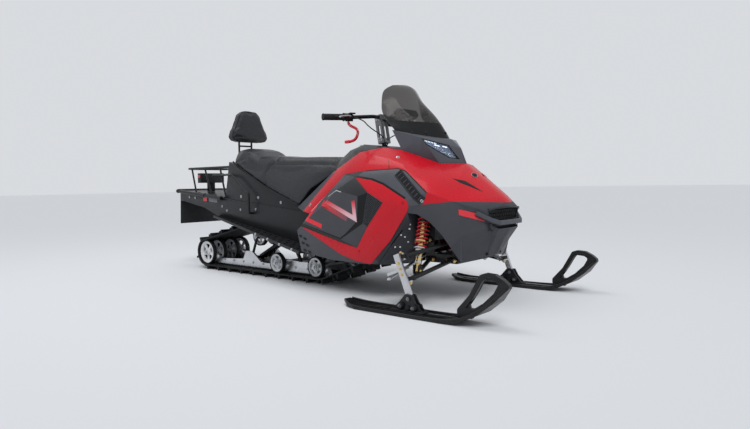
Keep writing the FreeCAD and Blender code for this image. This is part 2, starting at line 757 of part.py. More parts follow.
# Sheets beside and across the front of the engine bay. Columns: corners, sheet thickness.
LOWER_WALL = (
    (("wall_top", "stripe_foot", "stripe_f"), Vector(0, d.skin_in, 0)),
    (("wall_top", "wall_low", "stripe_foot"), Vector(0, d.skin_in, 0)),
    (("wall_top", "bay_top", "bay_low"), Vector(-d.bay_wall, 0, 0)),
    (("wall_top", "bay_low", "wall_low"), Vector(-d.bay_wall, 0, 0)),
)
panels = {}
for label, facets in (("vent_bands", VENT_BAND), ("side_stripes", SIDE_STRIPE),
                      ("side_meshes", SIDE_MESH), ("side_panels", SIDE_PANEL),
                      ("foot_guards", FOOT_GUARD)):
    panels[label] = panel(corners, facets, skin)
    feature(label, both_sides(panels[label]))
sheets = []
for names, wall in LOWER_WALL:
    loop = [corners[name] for name in names]
    sheets.append(Part.Face(Part.makePolygon(loop + loop[:1])).extrude(wall))
panels["lower_walls"] = largest(joined(*sheets).cut(panels["side_stripes"]))
feature("lower_walls", both_sides(panels["lower_walls"]))

# Belly cowl round the nose, with an arch over each front suspension.
COWL = (
    ("arch_rear", "vent_tip", "vent_low", "arch_a"), ("arch_a", "vent_low", "arch_b"),
    ("vent_low", "cheek", "arch_b"), ("arch_b", "cheek", "arch_c"),
    ("arch_c", "cheek", "cowl_side"), ("cheek", "grille_top", "cowl_nose", "cowl_side"),
    ("cheek", "nose", "lip", "grille_top"), ("nose", "nose_middle", "lip_middle", "lip"),
    ("arch_c", "cowl_side", "arch_d"), ("arch_d", "cowl_side", "arch_e"),
    ("arch_e", "cowl_side", "keel_side"), ("cowl_side", "cowl_nose", "keel_side"),
    ("keel_side", "cowl_nose", "keel_front"), ("cowl_nose", "chin", "keel_front"),
    ("keel_front", "chin", "chin_middle", "keel_middle"),
)
cowl_half = panel(corners, COWL, Vector(-d.skin_down, d.skin_in, 0)).common(right_half)
for label in ("vent_bands", "side_stripes", "lower_walls"):
    cowl_half = cowl_half.cut(panels[label])
cowl_half = cowl_half.cut(hood)
cowl_half = largest(cowl_half)
cowl = joined(cowl_half, mirrored(cowl_half))
feature("belly_cowl", cowl)

# Headlamp pod in front of the windshield, and a lamp in each of its cheeks.
POD = {
    "rear": Vector(640, -195, 900),
    "brow": Vector(812, -168, 850),
    "top": Vector(889, 0, 845),
    "front": Vector(950, 0, 792),
    "tip": Vector(986, 0, 706),
    "side": Vector(701, -191, 786),
    "low": Vector(796, -161, 750),
    "cheek": Vector(882, -101, 710),
    "root": Vector(604, -198, 806),
    "neck": Vector(690, -189, 806),
    "mid_root": Vector(604, 0, 806),
    "mid_neck": Vector(690, 0, 806),
    "sill": Vector(604, -196, 790),
    "mid_sill": Vector(604, 0, 790),
    "floor": Vector(701, 0, 776),
    "back": Vector(640, 0, 903),
}
pod_half = polyhedron(POD, (
    ("rear", "brow", "top"), ("rear", "neck", "brow"), ("neck", "side", "brow"),
    ("side", "low", "brow"), ("low", "cheek", "brow"), ("brow", "cheek", "front"),
    ("brow", "front", "top"), ("cheek", "tip", "front"),
    ("rear", "back", "mid_neck", "neck"), ("neck", "mid_neck", "mid_root", "root"),
    ("root", "side", "neck"), ("root", "sill", "side"), ("root", "mid_root", "mid_sill", "sill"),
    ("sill", "mid_sill", "floor", "side"), ("rear", "top", "back"),
    ("side", "floor", "low"), ("low", "floor", "cheek"), ("cheek", "floor", "tip"),
    ("mid_neck", "back", "top", "front", "tip", "floor", "mid_sill", "mid_root"),
))
# Outline of a lens on the plane of the pod's cheek. Columns: x, y, z.
LAMP = [Vector(*point) for point in (
    (813, -167, 846), (905.7, -53.9, 810.9), (946.8, -13.8, 733.1), (909.2, -60.5, 743.5),
    (882.3, -91.2, 767.4), (832.7, -147.8, 810.6),
)]
lamp_space = inset_slab(LAMP, d.lamp_depth, d.lamp_depth)
lamp = largest(pod_half.common(lamp_space))
pod_half = largest(pod_half.cut(lamp_space))
pod_half = pod_half.cut(hood)
pod_half = largest(pod_half)
feature("headlamp_pod", joined(pod_half, mirrored(pod_half)))
feature("headlamps", both_sides(lamp))

# Windshield: arcs from side to side. Columns: side x, side y, side z, middle x, middle z.
SHIELD = (
    (684, 182, 862, 880, 808),
    (650, 188, 902, 876, 852),
    (575, 184, 990, 797, 965),
    (556, 172, 1060, 690, 1070),
    (556, 148, 1112, 622, 1138),
    (568, 90, 1150, 592, 1164),
)


def shield_ring(side_x, side_y, side_z, middle_x, middle_z, inset):
    """The ends and the middle of one arc, moved inward in the arc's own plane."""
    inward = Vector(side_x - middle_x, 0, side_z - middle_z)
    inward.normalize()
    left = Vector(side_x, side_y - inset, side_z) + inward * inset
    right = Vector(side_x, inset - side_y, side_z) + inward * inset
    return left, Vector(middle_x, 0, middle_z) + inward * inset, right


rings = []
for row in SHIELD:
    left, middle, right = shield_ring(*row, 0)
    left_in, middle_in, right_in = shield_ring(*row, d.shield_wall)
    rings.append(Part.Wire([
        Part.Arc(left, middle, right).toShape(),
        Part.LineSegment(right, right_in).toShape(),
        Part.Arc(right_in, middle_in, left_in).toShape(),
        Part.LineSegment(left_in, left).toShape(),
    ]))
shield = Part.makeLoft(rings, True, True)
shield = largest(shield.cut(joined(pod_half, mirrored(pod_half))))
feature("windshield", shield)

# Console between the hood and the seat, with a wall beside each knee.
STEER_FOOT = Vector(430, 0, 812)
STEER_TOP = Vector(395, 0, 1016)
steer_axis = STEER_TOP - STEER_FOOT
steer_axis.normalize()
CONSOLE = {
    "hood_rear": corners["hood_rear"] + skin,
    "apex": corners["apex"] + skin,
    "strip_top": corners["strip_top"] + skin,
    "shoulder": Vector(226, -170, 752),
    "ledge": Vector(307, -165, 808),
    "crown": Vector(401, -150, 838),
    "brow": Vector(470, -150, 826),
    "front": Vector(600, -180, 806),
    "foot": Vector(205, -200, 697),
    "front_low": Vector(600, -180, 690),
    "strip_low": Vector(300, -262, 660),
    "foot_low": Vector(205, -200, 660),
    "hood_low": Vector(464, -250, 690),
}
for name in ("shoulder", "ledge", "crown", "brow", "front", "foot", "front_low", "foot_low"):
    point = CONSOLE[name]
    CONSOLE["mid_" + name] = Vector(point.x, 0, point.z)
console_half = polyhedron(CONSOLE, (
    ("foot", "shoulder", "strip_top"), ("shoulder", "ledge", "strip_top"),
    ("ledge", "hood_rear", "strip_top"), ("ledge", "crown", "hood_rear"),
    ("crown", "brow", "hood_rear"), ("brow", "apex", "hood_rear"), ("brow", "front", "apex"),
    ("mid_foot", "mid_shoulder", "shoulder", "foot"),
    ("mid_shoulder", "mid_ledge", "ledge", "shoulder"),
    ("mid_ledge", "mid_crown", "crown", "ledge"), ("mid_crown", "mid_brow", "brow", "crown"),
    ("mid_brow", "mid_front", "front", "brow"),
    ("apex", "front", "front_low"), ("apex", "front_low", "hood_low"),
    ("hood_rear", "apex", "hood_low"), ("strip_top", "hood_rear", "hood_low", "strip_low"),
    ("foot", "strip_top", "strip_low", "foot_low"),
    ("front", "mid_front", "mid_front_low", "front_low"),
    ("mid_foot_low", "mid_foot", "foot", "foot_low"),
    ("foot_low", "strip_low", "hood_low"), ("foot_low", "hood_low", "front_low"),
    ("foot_low", "front_low", "mid_front_low", "mid_foot_low"),
    ("mid_foot", "mid_foot_low", "mid_front_low", "mid_front", "mid_brow", "mid_crown",
     "mid_ledge", "mid_shoulder"),
))
post_hole = Part.makeCylinder(d.post_hole, 90, STEER_FOOT - steer_axis * 30, steer_axis)
bearing = Part.makeCylinder(d.post_radius + d.pin_play, 60, STEER_FOOT - steer_axis * 80,
                            steer_axis)
console = joined(console_half, mirrored(console_half)).cut(post_hole).cut(bearing)
console = largest(console.cut(hood))
feature("console", console)

KNEE = {
    "top": Vector(215, -206, 694),
    "strip": corners["strip_top"] + skin + Vector(-6, 0, -6),
    "tail": corners["strip_tail"] + skin,
    "foot": Vector(-58, -250, 478),
}
knee = panel(KNEE, (("top", "strip", "tail", "foot"),), Vector(0, d.skin_in, 0))
knee = largest(knee.cut(hood).cut(console))
feature("knee_panels", both_sides(knee))

# Seat: sections from the front to the rear.
# Columns: x, top z, half width at the top, bottom z, half width at the bottom.
SEAT = (
    (190, 768, 112, 700, 145),
    (0, 776, 135, 582, 208),
    (-75, 778, 140, 486, 236),
    (-250, 784, 145, 547, 224),
    (-430, 801, 150, 608, 205),
    (-560, 803, 155, 668, 198),
    (-640, 846, 160, 704, 192),
    (-720, 866, 150, 741, 185),
    (-810, 868, 118, 781, 165),
)
sections = []
for x, top, top_half, bottom, bottom_half in SEAT:
    ring = [Vector(x, -bottom_half, bottom), Vector(x, -(top_half + 24), top - 32),
            Vector(x, -top_half, top), Vector(x, top_half, top),
            Vector(x, top_half + 24, top - 32), Vector(x, bottom_half, bottom)]
    sections.append(Part.makePolygon(ring + ring[:1]))
seat = Part.makeLoft(sections, True, True)
feature("seat", seat)

# Seat base: fills the space between the tunnel and the seat, hollow below.
def base_line(lift):
    """Side outline of the seat base, smaller by lift all round."""
    low = [(-70 - lift, roof_z(-70) + d.gap), (-868 + lift, roof_z(-868) + d.gap)]
    high = [(-812 + lift, 780.7 - lift), (-560, 667.7 - lift), (-430, 607.7 - lift),
            (-250, 546.7 - lift), (-76 - lift, 485.7 - lift)]
    return low + high


seat_base = plate("seat_base_outside", base_line(0), "(Sizes.tunnel_half - 2) * 2")
seat_space = plate("seat_base_inside", base_line(6), "(Sizes.tunnel_half - 8) * 2")
keep(cut("seat_base", seat_base, seat_space))


# Engine as one block at its place.
engine = doc.addObject("Part::Box", "engine_block")
engine.setExpression("Length", "Sizes.engine_length")
engine.setExpression("Width", "Sizes.engine_width")
engine.setExpression("Height", "Sizes.engine_height")
engine.Placement = Placement(Vector(d.tunnel_front_x + 10, -d.engine_width / 2, d.engine_z),
                             Rotation())
keep(engine)

# Belly pan under the engine bay, fitted between the side walls. Columns: x, y.
PAN = (
    (798.6, 221.4), (692.4, 358.2), (631, 375.6), (520, 375.2), (429, 372.6), (429, 200.5),
    (540.5, 200.5),
)
pan_outline = list(PAN) + [(x, -y) for x, y in reversed(PAN)]
keep(plate("belly_pan", pan_outline, "Sizes.sheet_wall", "XY_Plane", d.pan_z))


# Front frame that carries the suspension, open to the front and rear.
def make_frame():
    outline = [Vector(x, 0, z) for x, z in (
        (d.frame_rear_x, 206), (1040, 206), (1062, 340), (1005, 462), (d.frame_rear_x, 476))]
    face = Part.Face(Part.makePolygon(outline + outline[:1]))
    block = face.extrude(Vector(0, d.frame_half * 2, 0))
    block.translate(Vector(0, -d.frame_half, 0))
    hollow = Part.makeBox(400, (d.frame_half - d.frame_wall) * 2, 230,
                          Vector(d.frame_rear_x - 100, d.frame_wall - d.frame_half, 216))
    block = block.cut(hollow)
    window = [Vector(x, -400, z) for x, z in ((900, 250), (1010, 250), (1010, 310), (940, 430),
                                              (900, 430))]
    tool = Part.Face(Part.makePolygon(window + window[:1])).extrude(Vector(0, 800, 0))
    block = block.cut(tool)
    tower = Part.makeCylinder(12, 570, Vector(d.shock_top_x, -285, d.shock_top_z),
                              Vector(0, 1, 0))
    pieces = [block, tower]
    floor = d.pan_z + d.sheet_wall + d.gap
    rear = d.tunnel_front_x + d.gap
    for side in (-d.beam_y, d.beam_y):
        pieces.append(Part.makeBox(d.frame_rear_x + 20 - rear, 30, 15,
                                   Vector(rear, side - 15, floor)))
        for x in (600, 730):
            pieces.append(Part.makeCylinder(13, d.engine_z - d.gap - floor,
                                            Vector(x, side, floor)))
    for middle in (-40, 40):
        across = Vector(0, 1, 0)
        start = Vector(d.link_x, middle - 6, d.link_z)
        bush = Part.makeCylinder(d.link_radius + 8, 12, start, across)
        foot = Part.makeBox(28, 12, d.link_z - 206, Vector(d.link_x + 10, middle - 6, 206))
        bore = Part.makeCylinder(d.link_radius + d.pin_play, 12, start, across)
        pieces.append(bush.fuse(foot).cut(bore))
    return joined(*pieces)


feature("front_frame", make_frame())

# Front suspension on the right side, about the kingpin.
king_top = Vector(d.kingpin_top_x, -d.kingpin_y, d.kingpin_top_z)
king_low = Vector(d.kingpin_low_x, -d.kingpin_y, d.kingpin_low_z)
king_axis = king_top - king_low
king_length = king_axis.Length
king_axis.normalize()


def ring_about_king(centre):
    """The eye of a suspension arm round the kingpin, before its hole is cut."""
    low = centre - king_axis * (d.eye_width / 2)
    return Part.makeCylinder(d.eye_radius, d.eye_width, low, king_axis)


shock_low = Vector(927, -372, 200)
shock_top = Vector(d.shock_top_x, -268, d.shock_top_z)
shock_line = shock_top - shock_low
shock_length = shock_line.Length
shock_line.normalize()

# Columns: ball joint, front pivot x, rear pivot x, pivot z.
ARMS = ((king_top, 1024, 866, 322), (king_low, 1012, 884, 224))
arms = []
for joint, front_x, rear_x, pivot_z in ARMS:
    clear = Part.makeCylinder(d.pin_radius + d.pin_play, 60, joint - king_axis * 30, king_axis)
    inward = joint + Vector(0, 34, 0)
    parts = [ring_about_king(joint), straight(joint + Vector(0, 11, 0), inward, 8),
             straight(inward - king_axis * 11, inward + king_axis * 11, 12)]
    for x in (front_x, rear_x):
        pivot = Vector(x, -d.frame_half - 12, pivot_z)
        parts.append(straight(inward, pivot, d.arm_radius))
        parts.append(Part.makeCylinder(14, 36, pivot - Vector(18, 0, 0), Vector(1, 0, 0)))
    if joint is king_low:
        parts.append(straight(shock_low + Vector(-4, 0, -20), shock_low + Vector(38, 0, -20), 9))
    arm = joined(*parts).cut(clear)
    arm = arm.cut(Part.makeBox(400, d.frame_half * 2 + d.gap * 2, 400,
                               Vector(800, -d.frame_half - d.gap, 100)))
    arms.append(largest(arm))
feature("suspension_arms", Part.makeCompound([
    shape for arm in arms for shape in (arm, mirrored(arm))]))

spring_foot = 136
body = straight(shock_low + shock_line * 20, shock_low + shock_line * (shock_length - 26),
                d.shock_radius)
rod_end = straight(shock_low + shock_line * (shock_length - 30), shock_top, 7)
foot_rod = straight(shock_low - shock_line * 18, shock_low + shock_line * 24, 9)
tower_clear = Part.makeCylinder(12 + d.gap, 400, shock_top - Vector(0, 200, 0), Vector(0, 1, 0))
seat_ring = straight(shock_low + shock_line * (spring_foot - 6),
                     shock_low + shock_line * spring_foot, 34)
cap_ring = straight(shock_low + shock_line * (shock_length - 32),
                    shock_low + shock_line * (shock_length - 26), 34)
shock = joined(body, rod_end, foot_rod, seat_ring, cap_ring)
shock = largest(shock.cut(arms[1]).cut(tower_clear))
feature("shock_bodies", both_sides(shock))

spring_start = shock_low + shock_line * (spring_foot + d.spring_wire + d.gap)
spring_span = shock_length - 32 - spring_foot - 2 * (d.spring_wire + d.gap)
helix = Part.makeHelix(spring_span / d.spring_turns, spring_span, d.spring_radius)
wire_ring = Part.Wire([Part.makeCircle(d.spring_wire, Vector(d.spring_radius, 0, 0),
                                       Vector(0, 1, 0))])
coil = Part.Wire(helix).makePipeShell([wire_ring], True, True)
coil.Placement = Placement(spring_start, Rotation(Vector(0, 0, 1), shock_line))
feature("springs", both_sides(coil))


# Spindle: a forging outside the kingpin, with ears above and below each eye.
def make_spindle():
    """Built with the kingpin upright through the origin, then leaned to its place."""
    offset = d.ski_y - d.kingpin_y
    ear = 7
    play = 1
    parts = []
    outer = -offset
    foot = -(d.kingpin_low_z - d.ski_bolt_z) / king_axis.z
    top = king_length + d.eye_width / 2 + play + ear
    parts.append(Part.makeBox(30, 18, top - foot + 12, Vector(-15, outer - 9, foot - 12)))
    for centre in (0, king_length):
        for low in (centre - d.eye_width / 2 - play - ear, centre + d.eye_width / 2 + play):
            disc = Part.makeCylinder(d.eye_radius - 1, ear, Vector(0, 0, low))
            web = Part.makeBox(26, offset, ear, Vector(-13, -offset, low))
            parts += [disc, web]
        low = centre - d.eye_width / 2 - play - ear / 2
        parts.append(Part.makeCylinder(d.pin_radius, d.eye_width + 2 * play + ear,
                                       Vector(0, 0, low)))
    middle = king_length / 2
    arm = Part.makeBox(107, 20, 14, Vector(-107, -10, middle - 7))
    root = Part.makeBox(26, offset + 10, 14, Vector(-13, -offset, middle - 7))
    parts += [arm, root, Part.makeCylinder(12, 14, Vector(-107, 0, middle - 7))]
    shape = joined(*parts)
    lean = Rotation(Vector(0, 0, 1), king_axis)
    shape.Placement = Placement(king_low, lean)
    return shape


spindle = make_spindle()
lean = Rotation(Vector(0, 0, 1), king_axis)
arm_end = Placement(king_low, lean).multVec(Vector(-107, 0, king_length / 2))
ski_bolt = Placement(king_low, lean).multVec(
    Vector(0, 0, -(d.kingpin_low_z - d.ski_bolt_z) / king_axis.z))
feature("spindle_right", spindle)
feature("spindle_left", mirrored(spindle))


# Ski: a sole that rises to the tip, side walls of the saddle, and a loop to lift it by.
def make_ski():
    # Sole line. Columns: x as a share of the length, height of the underside, half width share.
    profile = ((0, 22, 0.30), (0.05, 8, 0.75), (0.12, 0, 1), (0.66, 0, 1), (0.76, 12, 1),
               (0.86, 55, 0.92), (0.94, 112, 0.7), (1.0, d.ski_tip_z - 14, 0.2))
    length = d.ski_tip_x - d.ski_tail_x
    rings = []
    for share, low, width in profile:
        x = d.ski_tail_x + share * length
        half = d.ski_half * width
        ring = [Vector(x, -d.ski_y - half, low), Vector(x, -d.ski_y + half, low),
                Vector(x, -d.ski_y + half, low + d.ski_wall),
                Vector(x, -d.ski_y - half, low + d.ski_wall)]
        rings.append(Part.makePolygon(ring + ring[:1]))
    sole = Part.makeLoft(rings, True, True)
    # Loop outline, outside then inside. Columns: x behind the tip, height.
    outside = ((250, 62), (190, 128), (136, 222), (110, 231), (64, 228), (25, 209), (0, 189),
               (4, 176), (60, 130), (130, 74), (200, 40), (250, 30))
    inside = ((214, 72), (168, 122), (126, 196), (108, 205), (70, 202), (48, 190), (70, 150),
              (120, 102), (170, 70))
    loops = []
    for table in (outside, inside):
        points = [Vector(d.ski_tip_x - back, -d.ski_y - d.loop_width / 2, z) for back, z in table]
        loops.append(Part.Face(rounded(points, d.loop_bend)))
    loop = loops[0].cut(loops[1]).extrude(Vector(0, d.loop_width, 0))
    walls = []
    for side in (-1, 1):
        base = [Vector(ski_bolt.x + dx, -d.ski_y + side * 9 + (side - 1) * 4, z) for dx, z in (
            (-110, d.ski_wall - 2), (90, d.ski_wall - 2), (40, 60), (20, 96), (-20, 96),
            (-52, 60))]
        walls.append(Part.Face(Part.makePolygon(base + base[:1])).extrude(Vector(0, 8, 0)))
    bolt = Part.makeCylinder(7, 44, Vector(ski_bolt.x, -d.ski_y - 22, d.ski_bolt_z),
                             Vector(0, 1, 0))
    ski = joined(sole, loop, walls[0], walls[1], bolt)
    return ski.cut(spindle)


ski = make_ski()
feature("ski_right", ski)
feature("ski_left", mirrored(ski))

# Steering link: one bar across with a tie rod and an eye to each steering arm.
link_eye = Vector(arm_end.x, arm_end.y, arm_end.z - d.link_drop)
link_inner = Vector(d.link_x, -d.link_straight, d.link_z)
eye = Part.makeCylinder(12, 10, link_eye - king_axis * 5, king_axis)
half_link = [eye, straight(link_eye, link_inner, d.link_radius),
             straight(link_inner, Vector(d.link_x, 0, d.link_z), d.link_radius),
             Part.makeSphere(d.link_radius, link_inner)]
link_shapes = half_link + [mirrored(shape) for shape in half_link]
feature("steering_link", joined(*link_shapes))


# Handlebar and what it carries.
def on_post(forward, across, up):
    """A place measured from the foot of the steering axis, along and across it."""
    turn = Rotation(Vector(0, 0, 1), steer_axis)
    return STEER_FOOT + turn.multVec(Vector(forward, across, up))


bar_up = 190
bar_points = [
    Vector(299, -d.bar_half, 985), Vector(372, -200, 990), on_post(8, -75, bar_up),
    on_post(8, 75, bar_up), Vector(372, 200, 990), Vector(299, d.bar_half, 985),
]
bar = tube(bar_points, d.bar_radius, 60)
turn = Rotation(Vector(0, 0, 1), steer_axis)
riser_parts = []
for across in (-30, 18):
    fin = Part.makeBox(46, 12, 170, Vector(-20, across, 34))
    slot = Part.makeBox(16, 12, 70, Vector(-5, across, 70))
    riser_parts.append(fin.cut(slot))
riser_parts.append(Part.makeBox(46, 60, 16, Vector(-20, -30, 34)))
riser_parts.append(Part.makeBox(40, 60, 30, Vector(-14, -30, bar_up - 16)))
riser_parts.append(Part.makeCylinder(d.post_radius, 112, Vector(0, 0, -76)))
riser = joined(*riser_parts)
riser.Placement = Placement(STEER_FOOT, turn)
riser = riser.cut(bar)
feature("riser", riser)
feature("handlebar", bar)
grips = []
controls = []
for side in (-1, 1):
    end = Vector(299, side * d.bar_half, 985)
    inner = Vector(372, side * 200, 990)
    along = inner - end
    along.normalize()
    start = end - along * 3
    grip = Part.makeCylinder(d.grip_radius, d.grip_length, start, along)
    grips.append(grip.cut(bar))
    block = Part.makeBox(40, 36, 44, Vector(-18, -18, 0))
    place = Placement(start + along * (d.grip_length + 6), Rotation(Vector(0, 0, 1), along))
    block.Placement = place
    if side < 0:
        right_block = place
    lever_root = start + along * (d.grip_length + 22) + Vector(20, 0, 0)
    lever = straight(lever_root, start + along * 35 + Vector(46, 0, -2), 5)
    knuckle = straight(lever_root - Vector(12, 0, 0), lever_root + Vector(14, 0, 0), 8)
    controls.append(joined(block, knuckle, lever).cut(bar))
feature("grips", Part.makeCompound(grips))
feature("controls", Part.makeCompound(controls))

# Curly tether from the right control block, as a tube of its outer size. Columns: x, y, z.
TETHER = [Vector(*point) for point in (
    (404, -203, 922), (396, -202, 883), (368, -199, 858), (334, -198, 856),
)]
TETHER.insert(0, right_block.multVec(Vector(5, 44, 22)))
TETHER.insert(0, right_block.multVec(Vector(5, 18 + d.gap, 22)))


def cord_tube(points, radius):
    """Straight runs with the largest arcs that fit between them."""
    edges = []
    last = points[0]
    for before, corner, after in zip(points, points[1:], points[2:]):
        back = before - corner
        ahead = after - corner
        reach = 0.45 * min(back.Length, ahead.Length)
        back.normalize()
        ahead.normalize()
        half = back.getAngle(ahead) / 2
        size = reach * math.tan(half)
        print("tether bend radius", round(size, 1))
        middle = back + ahead
        middle.normalize()
        centre = corner + middle * (size / math.sin(half))
        edges.append(Part.LineSegment(last, corner + back * reach).toShape())
        edges.append(Part.Arc(corner + back * reach, centre - middle * size,
                              corner + ahead * reach).toShape())
        last = corner + ahead * reach
    edges.append(Part.LineSegment(last, points[-1]).toShape())
    path = Part.Wire(edges)
    ring = Part.Wire([Part.makeCircle(radius, points[0], points[1] - points[0])])
    solid = path.makePipeShell([ring], True, False)
    print("tether length", round(path.Length), "volume over section",
          round(solid.Volume / (math.pi * radius * radius)))
    return solid


feature("tether_cord", cord_tube(TETHER, d.coil_radius))
clip_dir = TETHER[-1] - TETHER[-2]
clip_dir.normalize()
clip = Part.makeBox(16, 20, 34, Vector(-8, -10, 0))
clip.Placement = Placement(TETHER[-1], Rotation(Vector(0, 0, 1), clip_dir))
feature("tether_clip", clip)

# Backrest pad and the frame that carries it.
pad_x = -846
pad_outline = [(-160, 958), (-142, 932), (-95, 922), (95, 922), (142, 932), (160, 958),
               (152, 1000), (92, 1130), (56, 1158), (-56, 1158), (-92, 1130), (-152, 1000)]
pad_body = plate("backrest_pad", pad_outline, "60", "YZ_Plane", pad_x - 30)
keep(pad_body)
frame_rods = []
post_x = pad_x - 30 - d.gap - 7
for side in (-55, 55):
    foot = Vector(post_x, side, roof_z(post_x - 7) + d.gap)
    frame_rods.append(straight(foot, Vector(post_x, side, 1080), 7))
for z in (900, 820):
    frame_rods.append(straight(Vector(post_x, -55, z), Vector(post_x, 55, z), 6))
feature("backrest_frame", joined(*frame_rods))

# Rear rack: a top rail, a front crossbar, and leaning uprights on the tunnel.
rail_front = -821.6
rail_rear = -1386
rack_parts = [
    tube([Vector(rail_front, -d.rack_half, d.rack_z), Vector(rail_rear, -d.rack_half, d.rack_z),
          Vector(rail_rear, d.rack_half, d.rack_z), Vector(rail_front, d.rack_half, d.rack_z)],
         d.rack_tube, 45),
    straight(Vector(post_x - 7 - d.gap - d.rack_strut, -d.rack_half, d.rack_z),
             Vector(post_x - 7 - d.gap - d.rack_strut, d.rack_half, d.rack_z), d.rack_strut),
]
for top_x, foot_x in ((-1317, -1253), (-1149, -1057), (-961, -884)):
    for side in (-1, 1):
        rack_parts.append(straight(Vector(foot_x, side * (d.rack_half + 6), roof_z(foot_x) - 20),
                                   Vector(top_x, side * d.rack_half, d.rack_z), d.rack_strut))
rack = joined(*rack_parts)
roof_clear = Part.Face(Part.makePolygon([
    Vector(-1500, -400, roof_z(-1500) + d.gap), Vector(-700, -400, roof_z(-700) + d.gap),
    Vector(-700, -400, 300), Vector(-1500, -400, 300),
    Vector(-1500, -400, roof_z(-1500) + d.gap),
])).extrude(Vector(0, 800, 0))
rack = largest(rack.cut(roof_clear))
feature("rack", rack)

# Rear bumper: a tube loop on the tunnel.
bumper_y = d.tunnel_half + d.gap + d.bumper_tube
bumper_points = [
    Vector(-900, -bumper_y, roof_z(-900) - 4), Vector(-1476, -bumper_y, 584),
    Vector(-1476, bumper_y, 584), Vector(-900, bumper_y, roof_z(-900) - 4),
]
feature("rear_bumper", tube(bumper_points, d.bumper_tube, 34))

# Grab tubes beside the passenger.
grab_y = d.rack_half + 1.5 + d.rack_strut + d.gap + d.grab_tube
grab_end = Vector(-556, -d.tunnel_half - d.gap, 430)
grab = tube([Vector(-1026, -grab_y, 692), Vector(-915, -grab_y, 692), Vector(-740, -236, 692),
             Vector(-556, -236, 560), Vector(-556, -236, 430), grab_end], d.grab_tube, 18)
feature("grab_tubes", both_sides(grab))

# Tail lamp on a stalk behind the rack's rear bar.
lamp_box = Part.makeBox(44, 210, 74, Vector(-1346, -105, 640))
stalk_z = roof_z(-1336) + d.gap
stalk = Part.makeBox(20, 60, 642 - stalk_z, Vector(-1336, -30, stalk_z))
feature("tail_lamp", joined(lamp_box, stalk))

# Snow flap behind the tunnel, and the tow plate under the bumper.
flap_x = d.tunnel_rear_x - d.gap
flap = panel({"a": Vector(flap_x, -196, 540), "b": Vector(flap_x, 196, 540),
              "c": Vector(-1468, 186, 330), "e": Vector(-1468, -186, 330)},
             (("a", "b", "c", "e"),), Vector(-6, 0, 0))
pin_room = Part.makeBox(100, 60, 60, Vector(-1500, -30, 500))
feature("snow_flap", flap.cut(pin_room))

# Side reflectors on the tunnel's rear end.
rear_reflector = Part.makeBox(46, 2, 34, Vector(-1132, -d.tunnel_half - 2, 505))
feature("reflectors", both_sides(rear_reflector))

# Tow plate under the rear bumper, with the hole for the tow pin.
tongue_z = 552
tongue = Part.makeBox(88, 60, d.hitch_wall, Vector(-1488, -30, tongue_z))
tow_hole = Part.makeCylinder(d.hitch_hole, d.hitch_wall * 3,
                             Vector(d.tow_x, 0, tongue_z - d.hitch_wall))
neck_top = roof_z(-1400) - d.sheet_wall - d.gap
neck = Part.makeBox(36, 60, neck_top - tongue_z, Vector(-1436, -30, tongue_z))
feature("tow_hitch", joined(tongue, neck).cut(tow_hole))

# Front bumper bar round the grille.
nose_bar = tube([Vector(1150, -205, 470), Vector(1234, -112, 414), Vector(1234, 112, 414),
                 Vector(1150, 205, 470)], 10, 26)
feature("front_bumper", largest(nose_bar.cut(cowl)))
grille = panel({"a": Vector(1190, -190, 490), "b": Vector(1190, 190, 490),
                "c": Vector(1194, 190, 372), "e": Vector(1194, -190, 372)},
               (("a", "b", "c", "e"),), Vector(-4, 0, 0))
grille_cut = grille.cut(cowl).cut(hood)
grille_cut = min(grille_cut.Solids, key=lambda solid: abs(solid.CenterOfMass.y) - solid.Volume / 1e5)
feature("front_grille", grille_cut)

doc.recompute()
for piece in doc.Objects:
    if "Invalid" in piece.State or "Error" in piece.State:
        raise RuntimeError(f"{piece.Label} did not build")
faulty = []
for piece in nodes:
    shape = piece.Shape
    if shape.isNull() or not shape.isValid() or not shape.Solids:
        faulty.append(piece.Label)
if faulty:
    raise RuntimeError("no valid shape: " + ", ".join(faulty))
for piece in nodes:
    shape = piece.Shape
    print(piece.Label, len(shape.Solids), round(shape.Volume / 1000), "cm3")
    shape.exportStep(f"parts/{piece.Label}.step")
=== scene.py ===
"""Looks of a touring snowmobile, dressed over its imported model. Lengths are in metres."""

import json
import math

import bpy
from mathutils import Matrix, Vector
from mathutils.bvhtree import BVHTree
from mathutils.kdtree import KDTree


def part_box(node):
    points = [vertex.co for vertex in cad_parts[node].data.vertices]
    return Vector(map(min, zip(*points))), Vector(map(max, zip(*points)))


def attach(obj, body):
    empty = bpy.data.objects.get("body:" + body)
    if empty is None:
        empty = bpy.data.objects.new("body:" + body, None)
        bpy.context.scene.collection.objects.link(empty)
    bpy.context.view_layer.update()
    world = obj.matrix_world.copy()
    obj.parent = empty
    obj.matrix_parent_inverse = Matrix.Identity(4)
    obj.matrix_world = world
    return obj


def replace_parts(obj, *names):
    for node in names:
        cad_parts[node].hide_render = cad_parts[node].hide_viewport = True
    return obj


bl_info = {
    "name": "Snowmobile looks",
    "version": (1, 0, 0),
    "blender": (4, 5, 0),
    "location": "View3D > Sidebar > Snowmobile",
    "description": "Dresses the packed snowmobile with finished surfaces and details",
    "category": "Object",
}

